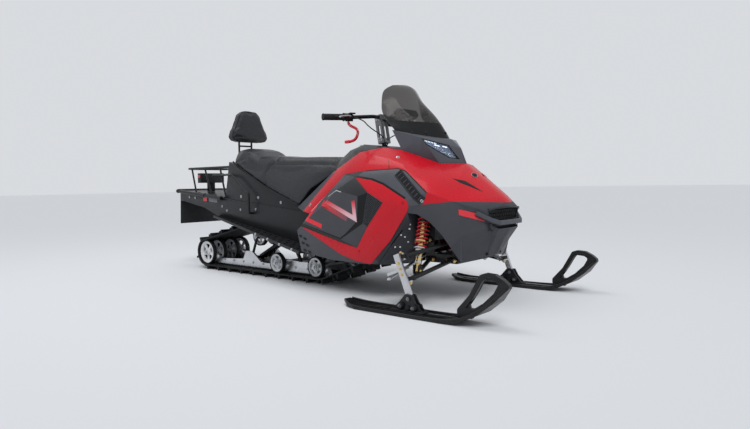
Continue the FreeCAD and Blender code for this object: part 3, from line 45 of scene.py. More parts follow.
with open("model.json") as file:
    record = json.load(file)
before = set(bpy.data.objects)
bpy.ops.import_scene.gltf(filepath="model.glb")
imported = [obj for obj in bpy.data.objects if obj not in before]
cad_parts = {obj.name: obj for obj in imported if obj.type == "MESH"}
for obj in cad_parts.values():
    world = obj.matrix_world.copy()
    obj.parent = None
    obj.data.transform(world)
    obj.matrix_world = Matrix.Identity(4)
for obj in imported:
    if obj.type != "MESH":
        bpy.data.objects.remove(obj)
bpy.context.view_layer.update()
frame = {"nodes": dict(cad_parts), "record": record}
nodes = frame["nodes"]
body_of = {node: body for body, members in frame["record"]["behaviour"]["bodies"].items()
           for node in members}
RIGHT = -1
LEFT = 1
SIDES = (RIGHT, LEFT)
# Both ends of a pin, seen along it.
ENDS = (-1, 1)
# Vertices nearer than this are one.
MERGE = 0.00002
FORWARD = Vector((1, 0, 0))
LEFTWARD = Vector((0, 1, 0))
UPWARD = Vector((0, 0, 1))


def at(x, y, z):
    """A place given in millimetres, in the frame's axes."""
    return Vector((x, y, z)) / 1000


class SnowmobileColours(bpy.types.PropertyGroup):
    """Colours of the finishes."""

    red: bpy.props.FloatVectorProperty(
        name="Red", description="Hood, stripes and springs", subtype="COLOR",
        default=(0.5, 0.006, 0.016), min=0, max=1)
    charcoal: bpy.props.FloatVectorProperty(
        name="Charcoal", description="Side panels and belly cowl", subtype="COLOR",
        default=(0.045, 0.047, 0.056), min=0, max=1)
    black: bpy.props.FloatVectorProperty(
        name="Black", description="Moulded parts and tubes", subtype="COLOR",
        default=(0.0085, 0.009, 0.01), min=0, max=1)
    vinyl: bpy.props.FloatVectorProperty(
        name="Vinyl", description="Seat cover", subtype="COLOR",
        default=(0.014, 0.0145, 0.018), min=0, max=1)
    silver: bpy.props.FloatVectorProperty(
        name="Silver", description="Rails and spindles", subtype="COLOR",
        default=(0.6, 0.61, 0.63), min=0, max=1)
    floor: bpy.props.FloatVectorProperty(
        name="Floor", description="Studio floor", subtype="COLOR",
        default=(0.74, 0.76, 0.79), min=0, max=1)


class SnowmobileSizes(bpy.types.PropertyGroup):
    """Sizes of the small details."""

    edge: bpy.props.FloatProperty(
        name="Panel edge", description="Rounding of the body panels' edges", unit="LENGTH",
        default=0.0022, min=0.0005, max=0.005)
    film: bpy.props.FloatProperty(
        name="Graphic film", description="Thickness of the coloured films", unit="LENGTH",
        default=0.0006, min=0.0002, max=0.002)
    stroke: bpy.props.FloatProperty(
        name="Graphic stroke", description="Width of the side panel's red lines", unit="LENGTH",
        default=0.024, min=0.01, max=0.04)
    cell: bpy.props.FloatProperty(
        name="Mesh cell", description="Radius of a honeycomb cell beside the engine",
        unit="LENGTH", default=0.0052, min=0.003, max=0.012)
    screw: bpy.props.FloatProperty(
        name="Screw head", description="Radius of a body screw's head", unit="LENGTH",
        default=0.0065, min=0.002, max=0.01)
    coil: bpy.props.FloatProperty(
        name="Tether coil", description="Outside radius of the curly tether", unit="LENGTH",
        default=0.0085, min=0.004, max=0.012)
    cord: bpy.props.FloatProperty(
        name="Tether cord", description="Diameter of the tether's own cord", unit="LENGTH",
        default=0.0036, min=0.002, max=0.006)
    lens: bpy.props.FloatProperty(
        name="Camera lens", description="Focal length for the 36 mm sensor", unit="CAMERA",
        default=28.176, min=15, max=100)


# Node groups shared by the finishes.
def new_group(name, inputs, outputs):
    """A shader node group. Columns of inputs: name, socket type, default."""
    group = bpy.data.node_groups.new(name, "ShaderNodeTree")
    for label, kind, value in inputs:
        socket = group.interface.new_socket(label, in_out="INPUT", socket_type=kind)
        socket.default_value = value
    for label, kind in outputs:
        group.interface.new_socket(label, in_out="OUTPUT", socket_type=kind)
    return group, group.nodes.new("NodeGroupInput"), group.nodes.new("NodeGroupOutput")


def add(tree, kind, **values):
    """A node with its settings and input defaults."""
    node = tree.nodes.new(kind)
    for key, value in values.items():
        if hasattr(node, key):
            setattr(node, key, value)
        else:
            node.inputs[key.replace("_", " ")].default_value = value
    return node


def wire(tree, start, output, end, socket):
    """Links a node's output to another node's input, each by its name or number."""
    tree.links.new(start.outputs[output], end.inputs[socket])


def grain_group():
    """Fine moulded or powder-coat grain with larger uneven tone."""
    group, gin, gout = new_group(
        "moulded grain",
        (("Colour", "NodeSocketColor", (0.1, 0.1, 0.1, 1)), ("Scale", "NodeSocketFloat", 900.0),
         ("Roughness", "NodeSocketFloat", 0.5), ("Depth", "NodeSocketFloat", 0.3),
         ("Tone", "NodeSocketFloat", 0.15)),
        (("Colour", "NodeSocketColor"), ("Roughness", "NodeSocketFloat"),
         ("Normal", "NodeSocketVector")))
    place = add(group, "ShaderNodeTexCoord")
    fine = add(group, "ShaderNodeTexNoise", Detail=4.0, Roughness=0.6)
    broad = add(group, "ShaderNodeTexNoise", Scale=6.0, Detail=5.0, Roughness=0.65)
    smudge = add(group, "ShaderNodeTexNoise", Scale=38.0, Detail=6.0, Roughness=0.7)
    for noise in (fine, broad, smudge):
        wire(group, place, "Object", noise, "Vector")
    wire(group, gin, "Scale", fine, "Scale")
    bump = add(group, "ShaderNodeBump", Distance=0.0004)
    wire(group, gin, "Depth", bump, "Strength")
    wire(group, fine, "Fac", bump, "Height")
    wire(group, bump, "Normal", gout, "Normal")
    tint = add(group, "ShaderNodeMix", data_type="RGBA", blend_type="MULTIPLY")
    tone = add(group, "ShaderNodeMapRange", From_Min=0.3, From_Max=0.7, To_Min=0.8, To_Max=1.25)
    wire(group, broad, "Fac", tone, "Value")
    wire(group, gin, "Tone", tint, "Factor")
    wire(group, gin, "Colour", tint, "A")
    wire(group, tone, "Result", tint, "B")
    wire(group, tint, "Result", gout, "Colour")
    dull = add(group, "ShaderNodeMapRange", From_Min=0.35, From_Max=0.7, To_Min=-0.07, To_Max=0.1)
    wire(group, smudge, "Fac", dull, "Value")
    total = add(group, "ShaderNodeMath", operation="ADD", use_clamp=True)
    wire(group, gin, "Roughness", total, 0)
    wire(group, dull, "Result", total, 1)
    wire(group, total, "Value", gout, "Roughness")
    return group


def scuff_group():
    """Scratched and rubbed patches as a mask."""
    group, gin, gout = new_group(
        "scuffs",
        (("Scale", "NodeSocketFloat", 22.0), ("Amount", "NodeSocketFloat", 0.5)),
        (("Mask", "NodeSocketFloat"),))
    place = add(group, "ShaderNodeTexCoord")
    stretch = add(group, "ShaderNodeMapping", Scale=(1.0, 3.0, 8.0), Rotation=(0.0, 0.3, 0.0))
    lines = add(group, "ShaderNodeTexNoise", Detail=8.0, Roughness=0.8, Distortion=0.4)
    patches = add(group, "ShaderNodeTexNoise", Scale=4.0, Detail=3.0)
    wire(group, place, "Object", stretch, "Vector")
    wire(group, stretch, "Vector", lines, "Vector")
    wire(group, gin, "Scale", lines, "Scale")
    wire(group, place, "Object", patches, "Vector")
    sharp = add(group, "ShaderNodeMapRange", From_Min=0.6, From_Max=0.68)
    area = add(group, "ShaderNodeMapRange", From_Min=0.5, From_Max=0.62)
    wire(group, lines, "Fac", sharp, "Value")
    wire(group, patches, "Fac", area, "Value")
    both = add(group, "ShaderNodeMath", operation="MULTIPLY")
    scaled = add(group, "ShaderNodeMath", operation="MULTIPLY", use_clamp=True)
    wire(group, sharp, "Result", both, 0)
    wire(group, area, "Result", both, 1)
    wire(group, both, "Value", scaled, 0)
    wire(group, gin, "Amount", scaled, 1)
    wire(group, scaled, "Value", gout, "Mask")
    return group


def vinyl_group():
    """Creased pebble grain of a vinyl cover, and a mask of the valleys between the pebbles that
    is used as painted shade.
    """
    group, gin, gout = new_group(
        "vinyl grain",
        (("Scale", "NodeSocketFloat", 420.0), ("Depth", "NodeSocketFloat", 0.5)),
        (("Normal", "NodeSocketVector"), ("Crevice shade", "NodeSocketFloat")))
    place = add(group, "ShaderNodeTexCoord")
    cells = add(group, "ShaderNodeTexVoronoi", feature="DISTANCE_TO_EDGE", Randomness=0.95)
    folds = add(group, "ShaderNodeTexNoise", Scale=9.0, Detail=3.0, Distortion=0.6)
    pull = add(group, "ShaderNodeMapping", Scale=(0.6, 1.0, 1.7), Rotation=(0.0, 0.7, 0.0))
    wire(group, place, "Object", cells, "Vector")
    wire(group, place, "Object", pull, "Vector")
    wire(group, pull, "Vector", folds, "Vector")
    wire(group, gin, "Scale", cells, "Scale")
    rise = add(group, "ShaderNodeMapRange", From_Min=0.0, From_Max=0.18)
    wire(group, cells, "Distance", rise, "Value")
    pebble = add(group, "ShaderNodeBump", Distance=0.0005)
    wire(group, gin, "Depth", pebble, "Strength")
    wire(group, rise, "Result", pebble, "Height")
    wave = add(group, "ShaderNodeBump", Distance=0.012, Strength=0.35)
    wire(group, folds, "Fac", wave, "Height")
    wire(group, wave, "Normal", pebble, "Normal")
    wire(group, pebble, "Normal", gout, "Normal")
    # The rise is low in the valleys between pebbles and goes out as the mask of painted shade.
    wire(group, rise, "Result", gout, "Crevice shade")
    return group


GROUPS = {"grain": grain_group(), "scuffs": scuff_group(), "vinyl": vinyl_group()}
FINISHES = {}


def colour(name):
    return (*getattr(bpy.context.scene.snowmobile_colours, name), 1.0)


def shade(base, factor):
    """A lighter or darker version of a colour."""
    return tuple(min(1.0, channel * factor) for channel in base[:3]) + (1.0,)


def new_finish(name):
    finish = bpy.data.materials.new(name)
    finish.use_nodes = True
    FINISHES[name] = finish
    return finish.node_tree, finish.node_tree.nodes["Principled BSDF"]


def moulded(name, base, rough, scale=900.0, depth=0.25, tone=0.5, scuffs=0.3, worn=None,
            metal=0.0, coat=0.0, gloss=0.35):
    """A finish with grain, uneven tone and scuffs."""
    tree, shader = new_finish(name)
    grain = add(tree, "ShaderNodeGroup", node_tree=GROUPS["grain"])
    for key, value in (("Colour", base), ("Scale", scale), ("Roughness", rough),
                       ("Depth", depth), ("Tone", tone)):
        grain.inputs[key].default_value = value
    scuff = add(tree, "ShaderNodeGroup", node_tree=GROUPS["scuffs"])
    scuff.inputs["Amount"].default_value = scuffs
    rubbed = add(tree, "ShaderNodeMix", data_type="RGBA")
    rubbed.inputs["B"].default_value = worn or shade(base, 2.2)
    wire(tree, scuff, "Mask", rubbed, "Factor")
    wire(tree, grain, "Colour", rubbed, "A")
    wire(tree, rubbed, "Result", shader, "Base Color")
    wire(tree, grain, "Roughness", shader, "Roughness")
    wire(tree, grain, "Normal", shader, "Normal")
    shader.inputs["Metallic"].default_value = metal
    shader.inputs["Specular IOR Level"].default_value = 0.5 if metal else gloss
    shader.inputs["Coat Weight"].default_value = coat
    shader.inputs["Coat Roughness"].default_value = 0.06


def clear(name, base, rough, through=1.0, alpha=1.0):
    """Glass or clear plastic with faint uneven polish."""
    tree, shader = new_finish(name)
    place = add(tree, "ShaderNodeTexCoord")
    haze = add(tree, "ShaderNodeTexNoise", Scale=30.0, Detail=5.0)
    spread = add(tree, "ShaderNodeMapRange", From_Min=0.3, From_Max=0.8, To_Min=rough,
                 To_Max=rough + 0.05)
    wire(tree, place, "Object", haze, "Vector")
    wire(tree, haze, "Fac", spread, "Value")
    wire(tree, spread, "Result", shader, "Roughness")
    shader.inputs["Base Color"].default_value = base
    shader.inputs["Transmission Weight"].default_value = through
    shader.inputs["Alpha"].default_value = alpha


def glowing(name, base, strength):
    """A lit light strip behind the lens."""
    moulded(name, base, 0.3, depth=0.02, scuffs=0.0)
    shader = FINISHES[name].node_tree.nodes["Principled BSDF"]
    shader.inputs["Emission Color"].default_value = base
    shader.inputs["Emission Strength"].default_value = strength


def vinyl_finish(name, base):
    tree, shader = new_finish(name)
    skin = add(tree, "ShaderNodeGroup", node_tree=GROUPS["vinyl"])
    grain = add(tree, "ShaderNodeGroup", node_tree=GROUPS["grain"])
    grain.inputs["Colour"].default_value = base
    grain.inputs["Roughness"].default_value = 0.34
    grain.inputs["Tone"].default_value = 0.6
    # Painted shade: the base colour is darkened along the valleys between the pebbles.
    dark = add(tree, "ShaderNodeMix", data_type="RGBA", blend_type="MULTIPLY")
    dark.inputs["Factor"].default_value = 0.35
    wire(tree, grain, "Colour", dark, "A")
    wire(tree, skin, "Crevice shade", dark, "B")
    wire(tree, dark, "Result", shader, "Base Color")
    wire(tree, grain, "Roughness", shader, "Roughness")
    wire(tree, skin, "Normal", shader, "Normal")


def fading_film(name, start_colour, end_colour, start, end, axis="X"):
    """A film whose colour changes along an axis, from start to end in metres."""
    moulded(name, start_colour, 0.3, depth=0.03, scuffs=0.1, coat=0.4)
    tree = FINISHES[name].node_tree
    grain = next(node for node in tree.nodes if node.type == "GROUP"
                 and node.node_tree == GROUPS["grain"])
    place = add(tree, "ShaderNodeTexCoord")
    split = add(tree, "ShaderNodeSeparateXYZ")
    amount = add(tree, "ShaderNodeMapRange", From_Min=start, From_Max=end)
    mix = add(tree, "ShaderNodeMix", data_type="RGBA")
    mix.inputs["A"].default_value = start_colour
    mix.inputs["B"].default_value = end_colour
    wire(tree, place, "Object", split, "Vector")
    wire(tree, split, axis, amount, "Value")
    wire(tree, amount, "Result", mix, "Factor")
    wire(tree, mix, "Result", grain, "Colour")


def make_finishes():
    """Every finish of the machine, from its few main colours."""
    red = colour("red")
    charcoal = colour("charcoal")
    black = colour("black")
    silver = colour("silver")
    moulded("red gloss", red, 0.3, scale=260.0, depth=0.03, tone=0.3, scuffs=0.1,
            worn=shade(red, 1.25), coat=0.22, gloss=0.2)
    moulded("charcoal plastic", charcoal, 0.44, scale=1300.0, depth=0.3, tone=0.5, scuffs=0.2)
    moulded("dark plastic", shade(charcoal, 0.26), 0.36, scale=1300.0, depth=0.3, scuffs=0.2)
    moulded("pod plastic", shade(charcoal, 1.45), 0.36, scale=1300.0, depth=0.3, scuffs=0.15)
    moulded("black plastic", black, 0.4, scale=1100.0, depth=0.35, scuffs=0.3)
    moulded("black tube", black, 0.3, scale=1600.0, depth=0.2, scuffs=0.3,
            worn=shade(black, 6.0))
    moulded("tunnel coat", shade(charcoal, 0.24), 0.36, scale=1500.0, depth=0.2, scuffs=0.4)
    moulded("grey guard", shade(charcoal, 1.25), 0.48, scale=900.0, depth=0.4, scuffs=0.25)
    moulded("flap rubber", shade(black, 2.2), 0.6, scale=500.0, depth=0.5, scuffs=0.5)
    moulded("riser plate", shade(silver, 0.3), 0.34, scale=900.0, depth=0.1, scuffs=0.4,
            worn=silver, metal=0.8)
    moulded("lamp shelf", (0.16, 0.21, 0.30, 1), 0.22, depth=0.05, scuffs=0.0, metal=0.5)
    moulded("rubber", black, 0.66, scale=500.0, depth=0.6, scuffs=0.5, worn=shade(black, 4.0))
    moulded("soft rubber", black, 0.58, scale=900.0, depth=0.4, scuffs=0.15)
    moulded("silver", silver, 0.32, scale=700.0, depth=0.12, scuffs=0.5,
            worn=shade(silver, 0.6), metal=1.0)
    moulded("cast engine", shade(silver, 0.33), 0.6, scale=400.0, depth=0.6, metal=0.6)
    moulded("bright bolt", shade(silver, 0.95), 0.3, depth=0.05, scuffs=0.2, metal=1.0)
    moulded("zinc gold", (0.76, 0.56, 0.24, 1), 0.28, depth=0.08, scuffs=0.3, metal=1.0)
    moulded("spring red", shade(red, 1.1), 0.3, scale=700.0, depth=0.06, scuffs=0.1, coat=0.5)
    moulded("wheel grey", shade(silver, 1.05), 0.34, scale=700.0, depth=0.1, scuffs=0.5,
            worn=shade(silver, 0.45))
    moulded("ski plastic", shade(black, 0.9), 0.34, scale=600.0, depth=0.3, scuffs=0.5,
            worn=shade(black, 7.0))
    moulded("reflector red", shade(red, 1.3), 0.16, scale=420.0, depth=0.7, scuffs=0.0, coat=0.9)
    moulded("bare plate", shade(charcoal, 4.0), 0.35, scuffs=0.2)
    moulded("gloss black", shade(black, 0.5), 0.2, depth=0.03, scuffs=0.0, gloss=0.3)
    moulded("cord red", shade(red, 1.4), 0.3, depth=0.05, scuffs=0.0, coat=0.3)
    moulded("chrome bowl", (0.88, 0.89, 0.92, 1), 0.08, depth=0.02, scuffs=0.0, metal=1.0)
    moulded("white plastic", (0.75, 0.76, 0.78, 1), 0.35, depth=0.1, scuffs=0.2)
    # A pale film for the painted highlight lines along edges and creases.
    moulded("painted highlight film", (0.5, 0.5, 0.52, 1), 0.35, depth=0.03, scuffs=0.1)
    moulded("stitching", shade(charcoal, 0.9), 0.6, depth=0.6, scuffs=0.0)
    fading_film("fading film", shade(red, 1.15), (0.66, 0.42, 0.47, 1), 0.522, 0.442, "Z")
    fading_film("fading bar", shade(red, 1.15), shade(charcoal, 1.4), 0.33, 0.52)
    clear("smoked glass", (0.115, 0.105, 0.1, 1), 0.02)
    clear("lamp lens", (0.9, 0.94, 1.0, 1), 0.015)
    clear("tail lens", (0.6, 0.012, 0.012, 1), 0.1, through=0.6)
    glowing("light strip", (0.9, 0.95, 1.0, 1), 1.4)
    vinyl_finish("seat vinyl", colour("vinyl"))


# Hand tools.
def deselect():
    active = bpy.context.view_layer.objects.active
    if active and active.mode != "OBJECT":
        leave()
    bpy.ops.object.select_all(action="DESELECT")


def pick(*objects):
    deselect()
    for piece in objects:
        piece.select_set(True)
    bpy.context.view_layer.objects.active = objects[0]


def added(name):
    """The object that was just added, under its name."""
    piece = bpy.context.object
    piece.name = name
    return piece


def enter(piece):
    """Opens a mesh in edit mode with all of it selected."""
    pick(piece)
    bpy.ops.object.mode_set(mode="EDIT")
    bpy.ops.mesh.select_all(action="SELECT")


def leave():
    bpy.ops.object.mode_set(mode="OBJECT")


def face_out():
    """Turns every face of the open mesh outwards and leaves edit mode."""
    bpy.ops.mesh.select_all(action="SELECT")
    bpy.ops.mesh.normals_make_consistent(inside=False)
    leave()


def settle(piece):
    """Puts the place of a piece in its mesh."""
    pick(piece)
    bpy.ops.object.transform_apply(location=True, rotation=True, scale=True)


def apply(piece, kind, **values):
    """Adds a modifier and applies it."""
    pick(piece)
    modifier = piece.modifiers.new(kind.lower(), kind)
    for key, value in values.items():
        setattr(modifier, key, value)
    bpy.ops.object.modifier_apply(modifier=modifier.name)


def bevel(piece, width, segments=2, degrees=30):
    """Rounds the edges that turn by more than some degrees."""
    apply(piece, "BEVEL", width=width, segments=segments, limit_method="ANGLE",
          angle_limit=math.radians(degrees))


def smooth(piece, degrees=32):
    pick(piece)
    bpy.ops.object.shade_smooth_by_angle(angle=math.radians(degrees))


def dress(piece, finish, body="chassis", degrees=32):
    """Gives a finished piece its material and the body it rides on."""
    settle(piece)
    smooth(piece, degrees)
    piece.data.materials.clear()
    piece.data.materials.append(FINISHES[finish])
    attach(piece, body)
    return piece


def own_copy(source, name):
    """A copy with its own mesh, free of the frame."""
    deselect()
    piece = source.copy()
    piece.data = source.data.copy()
    piece.name = name
    piece.parent = None
    for key in list(piece.keys()):
        del piece[key]
    bpy.context.scene.collection.objects.link(piece)
    return piece


def pair(piece, finish, body="chassis", left_body=None, slot=None, degrees=32):
    """Dresses a right-hand piece and its mirrored left-hand twin."""
    settle(piece)
    name = piece.name
    piece.name = name + "_right"
    left = own_copy(piece, name + "_left")
    left.data.transform(Matrix.Diagonal((1, -1, 1, 1)))
    left.data.flip_normals()
    dress(piece, finish, body, degrees)
    dress(left, finish, left_body or body, degrees)
    return piece, left


def weld(name, *objects):
    """Several objects as one piece."""
    pick(*objects)
    bpy.ops.object.join()
    return added(name)


def choose(piece, test):
    """Selects in edit mode the faces that pass a test of their middle and normal."""
    enter(piece)
    bpy.ops.mesh.select_mode(type="FACE")
    bpy.ops.mesh.select_all(action="DESELECT")
    leave()
    for face in piece.data.polygons:
        face.select = test(face.center, face.normal)
    bpy.ops.object.mode_set(mode="EDIT")


def prune(piece, test):
    """Deletes the faces that pass a test of their middle and normal."""
    choose(piece, test)
    bpy.ops.mesh.delete(type="FACE")
    leave()


def trim(piece, loop, across):
    """Cuts a mesh to a convex loop of places, with planes that run along across."""
    middle = sum(loop, Vector()) / len(loop)
    enter(piece)
    for first, last in zip(loop, loop[1:] + loop[:1]):
        out = (last - first).cross(across).normalized()
        if out.dot(first - middle) < 0:
            out.negate()
        bpy.ops.mesh.select_all(action="SELECT")
        bpy.ops.mesh.bisect(plane_co=first, plane_no=out, clear_outer=True)
    leave()
    if not piece.data.polygons:
        raise RuntimeError(f"{piece.name}: nothing is left inside its outline")


def facing(place, up, along=FORWARD):
    """The matrix that turns Z towards up and X near along, and moves to a place."""
    up = Vector(up).normalized()
    across = up.cross(Vector(along)).normalized()
    matrix = Matrix((across.cross(up), across, up)).transposed().to_4x4()
    matrix.translation = place
    return matrix


def lay_flat(corners, towards):
    """The matrix of the plane through corners that faces towards, and the corners on it."""
    normal = (corners[1] - corners[0]).cross(corners[2] - corners[0]).normalized()
    if normal.dot(towards) < 0:
        normal.negate()
    matrix = facing(corners[0], normal, corners[1] - corners[0])
    return matrix, [(matrix.inverted() @ corner).to_2d().to_3d() for corner in corners]


def beside(axis):
    """A way that is well off an axis."""
    return FORWARD if abs(Vector(axis).normalized().x) < 0.9 else UPWARD


def block(name, place, size, round_by=0.002, segments=2, up=UPWARD, along=FORWARD):
    """A box with rounded edges."""
    deselect()
    bpy.ops.mesh.primitive_cube_add(size=1)
    piece = added(name)
    piece.scale = size
    settle(piece)
    bevel(piece, round_by, segments)
    piece.matrix_world = facing(place, up, along)
    settle(piece)
    return piece


def bar(name, start, end, radius, vertices=20, round_by=0.001, end_radius=None):
    """A round or tapered bar between two places."""
    start = Vector(start)
    end = Vector(end)
    line = end - start
    deselect()
    bpy.ops.mesh.primitive_cone_add(vertices=vertices, radius1=radius,
                                    radius2=end_radius or radius, depth=line.length)
    piece = added(name)
    bevel(piece, round_by, degrees=50)
    piece.matrix_world = facing((start + end) / 2, line, beside(line))
    settle(piece)
    return piece


def slab(name, loop, thickness, place=Matrix(), round_by=0.0):
    """A plate with a convex outline in X and Y that grows along Z, then is put in place."""
    deselect()
    reach = 4 * max(max(abs(corner.x), abs(corner.y)) for corner in loop)
    bpy.ops.mesh.primitive_plane_add(size=reach)
    piece = added(name)
    trim(piece, loop, UPWARD)
    enter(piece)
    bpy.ops.mesh.extrude_region_move(TRANSFORM_OT_translate={"value": (0, 0, thickness)})
    face_out()
    if round_by:
        bevel(piece, round_by)
    piece.data.transform(place)
    return piece


def centreline(points, resolution):
    """A smooth line through given control points, as a curve."""
    curve = bpy.data.curves.new("line", "CURVE")
    curve.dimensions = "3D"
    spline = curve.splines.new("NURBS")
    spline.points.add(len(points) - 1)
    for spot, point in zip(spline.points, points):
        spot.co = (*point, 1)
    spline.order_u = 3
    spline.use_endpoint_u = True
    spline.resolution_u = resolution
    return curve


def read_line(points, resolution):
    """The places that a smooth line through control points passes."""
    guide = bpy.data.objects.new("guide", centreline(points, resolution))
    bpy.context.scene.collection.objects.link(guide)
    places = [vertex.co.copy() for vertex in bpy.data.meshes.new_from_object(guide).vertices]
    bpy.data.objects.remove(guide)
    return places


def run_length(line):
    """The length of a line of places."""
    return sum((b - a).length for a, b in zip(line, line[1:]))


def pipe(name, points, radius, resolution=8, sides=3):
    """A tube along a smooth line."""
    curve = centreline(points, resolution)
    curve.bevel_depth = radius
    curve.bevel_resolution = sides
    curve.use_fill_caps = True
    piece = bpy.data.objects.new(name, curve)
    bpy.context.scene.collection.objects.link(piece)
    pick(piece)
    bpy.ops.object.convert(target="MESH")
    return bpy.context.object


def strap(name, points, size):
    """A flat bar with a size in X and Z that runs through places."""
    deselect()
    bpy.ops.mesh.primitive_plane_add(size=1, rotation=(math.pi / 2, 0, 0))
    piece = added(name)
    piece.scale = (size[0], size[1], 1)
    piece.location = points[0]
    settle(piece)
    enter(piece)
    for first, last in zip(points, points[1:]):
        bpy.ops.mesh.extrude_region_move(TRANSFORM_OT_translate={"value": last - first})
    face_out()
    bevel(piece, min(size) * 0.22, 3)
    return piece


def copies(name, model, spots):
    """Copies of a model joined as one piece. Each spot is a place, an up and an along."""
    made = []
    for place, up, along in spots:
        copy = own_copy(model, name)
        copy.matrix_world = facing(place, up, along)
        made.append(copy)
    bpy.data.objects.remove(model)
    return weld(name, *made)


def screw_head(radius):
    """A domed head with a round socket, on a washer. It stands on Z = 0."""
    deselect()
    bpy.ops.mesh.primitive_cylinder_add(vertices=18, radius=radius, depth=radius * 0.6,
                                        location=(0, 0, radius * 0.45))
    head = bpy.context.object
    settle(head)
    bevel(head, radius * 0.2)
    choose(head, lambda middle, normal: normal.z > 0.9)
    bpy.ops.mesh.inset(thickness=radius * 0.3)
    bpy.ops.mesh.extrude_region_move(TRANSFORM_OT_translate={"value": (0, 0, -radius * 0.35)})
    leave()
    washer = bar("washer", (0, 0, 0), (0, 0, radius * 0.16), radius * 1.45, 20, radius * 0.05)
    return weld("screw", head, washer)


def hex_bolt(radius):
    """A hexagon head on a washer. It stands on Z = 0."""
    head = bar("head", (0, 0, 0), (0, 0, radius * 0.85), radius, 6, radius * 0.1)
    washer = bar("washer", (0, 0, 0), (0, 0, radius * 0.18), radius * 1.35, 20, radius * 0.05)
    tip = bar("tip", (0, 0, 0), (0, 0, radius * 1.15), radius * 0.5, 12, radius * 0.08)
    return weld("bolt", head, washer, tip)


TREES = {}


def touch(piece, start, way):
    """Where a line from a start meets a piece, and the way its surface faces there."""
    if piece.name not in TREES:
        TREES[piece.name] = BVHTree.FromPolygons(
            [vertex.co.copy() for vertex in piece.data.vertices],
            [tuple(face.vertices) for face in piece.data.polygons])
    place, normal, index, far = TREES[piece.name].ray_cast(start, way)
    if place is None:
        raise RuntimeError(f"nothing of {piece.name} is met from {tuple(start)}")
    return place, (normal if normal.dot(way) < 0 else -normal)


# A place well outside the machine and one well above it, in millimetres.
OUTSIDE = 700
OVERHEAD = 1500


def from_side(piece, x, z, side=RIGHT):
    """The place and facing of a piece's side at a given x and z in millimetres."""
    return touch(piece, at(x, side * OUTSIDE, z), -LEFTWARD * side)


def from_above(piece, x, y):
    """The place and facing of a piece's top at a given x and y in millimetres."""
    return touch(piece, at(x, y, OVERHEAD), -UPWARD)


def both_sides(piece, places, run=UPWARD):
    """Spots on both sides of a piece, from places of x and z in millimetres."""
    return [(*from_side(piece, x, z, side), run) for x, z in places for side in SIDES]


SKINS = {}


def soften(node, finish, width=None, zones=(), degrees=24):
    """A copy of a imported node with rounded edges, which stands for it. Each zone is a
    finish and the corner loops in X and Z of the facets that have it."""
    sizes = bpy.context.scene.snowmobile_sizes
    piece = own_copy(nodes[node], node + "_skin")
    enter(piece)
    bpy.ops.mesh.remove_doubles(threshold=MERGE)
    bpy.ops.mesh.dissolve_limited(angle_limit=math.radians(1.5))
    leave()
    piece.data.materials.clear()
    piece.data.materials.append(FINISHES[finish])
    for index, (zone_finish, loops) in enumerate(zones, start=1):
        piece.data.materials.append(FINISHES[zone_finish])
        for face in piece.data.polygons:
            if any(inside(loop, face.center) for loop in loops):
                face.material_index = index
    bevel(piece, width or sizes.edge, degrees=degrees)
    smooth(piece, 38)
    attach(piece, body_of[node])
    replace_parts(piece, node)
    SKINS[node] = piece
    return piece


def inside(loop, place):
    """Whether a place is within a convex loop, seen from the side."""
    turns = []
    for first, last in zip(loop, loop[1:] + loop[:1]):
        edge = last - first
        turns.append(edge.x * (place.z - first.z) - edge.z * (place.x - first.x) > 0)
    return all(turns) or not any(turns)


def film(name, skin, loop, thickness=None, side=RIGHT):
    """A thin film on a skin's outer face, cut to a convex loop seen from the side."""
    sizes = bpy.context.scene.snowmobile_sizes
    piece = own_copy(skin, name)
    prune(piece, lambda middle, normal: middle.y * side < 0.01 or normal.y * side < 0.1)
    trim(piece, loop, LEFTWARD)
    apply(piece, "SOLIDIFY", thickness=thickness or sizes.film, offset=1.0)
    return piece


def strokes(points, width):
    """Four-cornered loops that follow a line seen from the side, mitred at its corners."""
    rims = []
    for i, point in enumerate(points):
        before = (point - points[i - 1]).normalized() if i else None
        after = (points[i + 1] - point).normalized() if i < len(points) - 1 else None
        along = ((before or after) + (after or before)).normalized()
        across = Vector((-along.z, 0, along.x))
        run = before or after
        reach = width / 2 / max(0.35, across.dot(Vector((-run.z, 0, run.x))))
        rims.append((point + across * reach, point - across * reach))
    return [[a[0], b[0], b[1], a[1]] for a, b in zip(rims, rims[1:])]


def stroke_film(name, skin, points, width, thickness=None):
    """A film that follows a line on a skin's right side."""
    parts = [film(name, skin, loop, thickness) for loop in strokes(points, width)]
    return weld(name, *parts) if len(parts) > 1 else parts[0]


def honeycomb(name, loop, cell, wall, place):
    """A flat honeycomb cut to a convex loop in X and Y, then put in place."""
    low = Vector((min(c.x for c in loop), min(c.y for c in loop), 0))
    high = Vector((max(c.x for c in loop), max(c.y for c in loop), 0))
    deselect()
    bpy.ops.mesh.primitive_circle_add(vertices=6, radius=cell, fill_type="NGON")
    piece = added(name)
    step = cell * math.sqrt(3)
    rows = math.ceil((high.y - low.y) / (cell * 1.5)) + 2
    columns = math.ceil((high.x - low.x) / step) + rows // 2 + 3
    for count, shift in ((columns, (step, 0, 0)), (rows, (step / 2, cell * 1.5, 0))):
        apply(piece, "ARRAY", count=count, use_relative_offset=False,
              use_constant_offset=True, constant_offset_displace=shift,
              use_merge_vertices=True, merge_threshold=cell * 0.05)
    piece.location = low - Vector((step * (rows // 2 + 1), cell, 0))
    settle(piece)
    trim(piece, loop, UPWARD)
    apply(piece, "WIREFRAME", thickness=wall, use_even_offset=False, use_boundary=True)
    piece.data.transform(place)
    return piece


def ring(name, place, axis, radius, width, thickness, vertices=40):
    """A band round an axis, with rounded edges."""
    deselect()
    bpy.ops.mesh.primitive_cylinder_add(vertices=vertices, radius=radius, depth=width,
                                        end_fill_type="NOTHING")
    piece = added(name)
    apply(piece, "SOLIDIFY", thickness=thickness, offset=-1.0)
    bevel(piece, min(width, thickness) * 0.25, degrees=50)
    piece.matrix_world = facing(place, axis, beside(axis))
    settle(piece)
    return piece


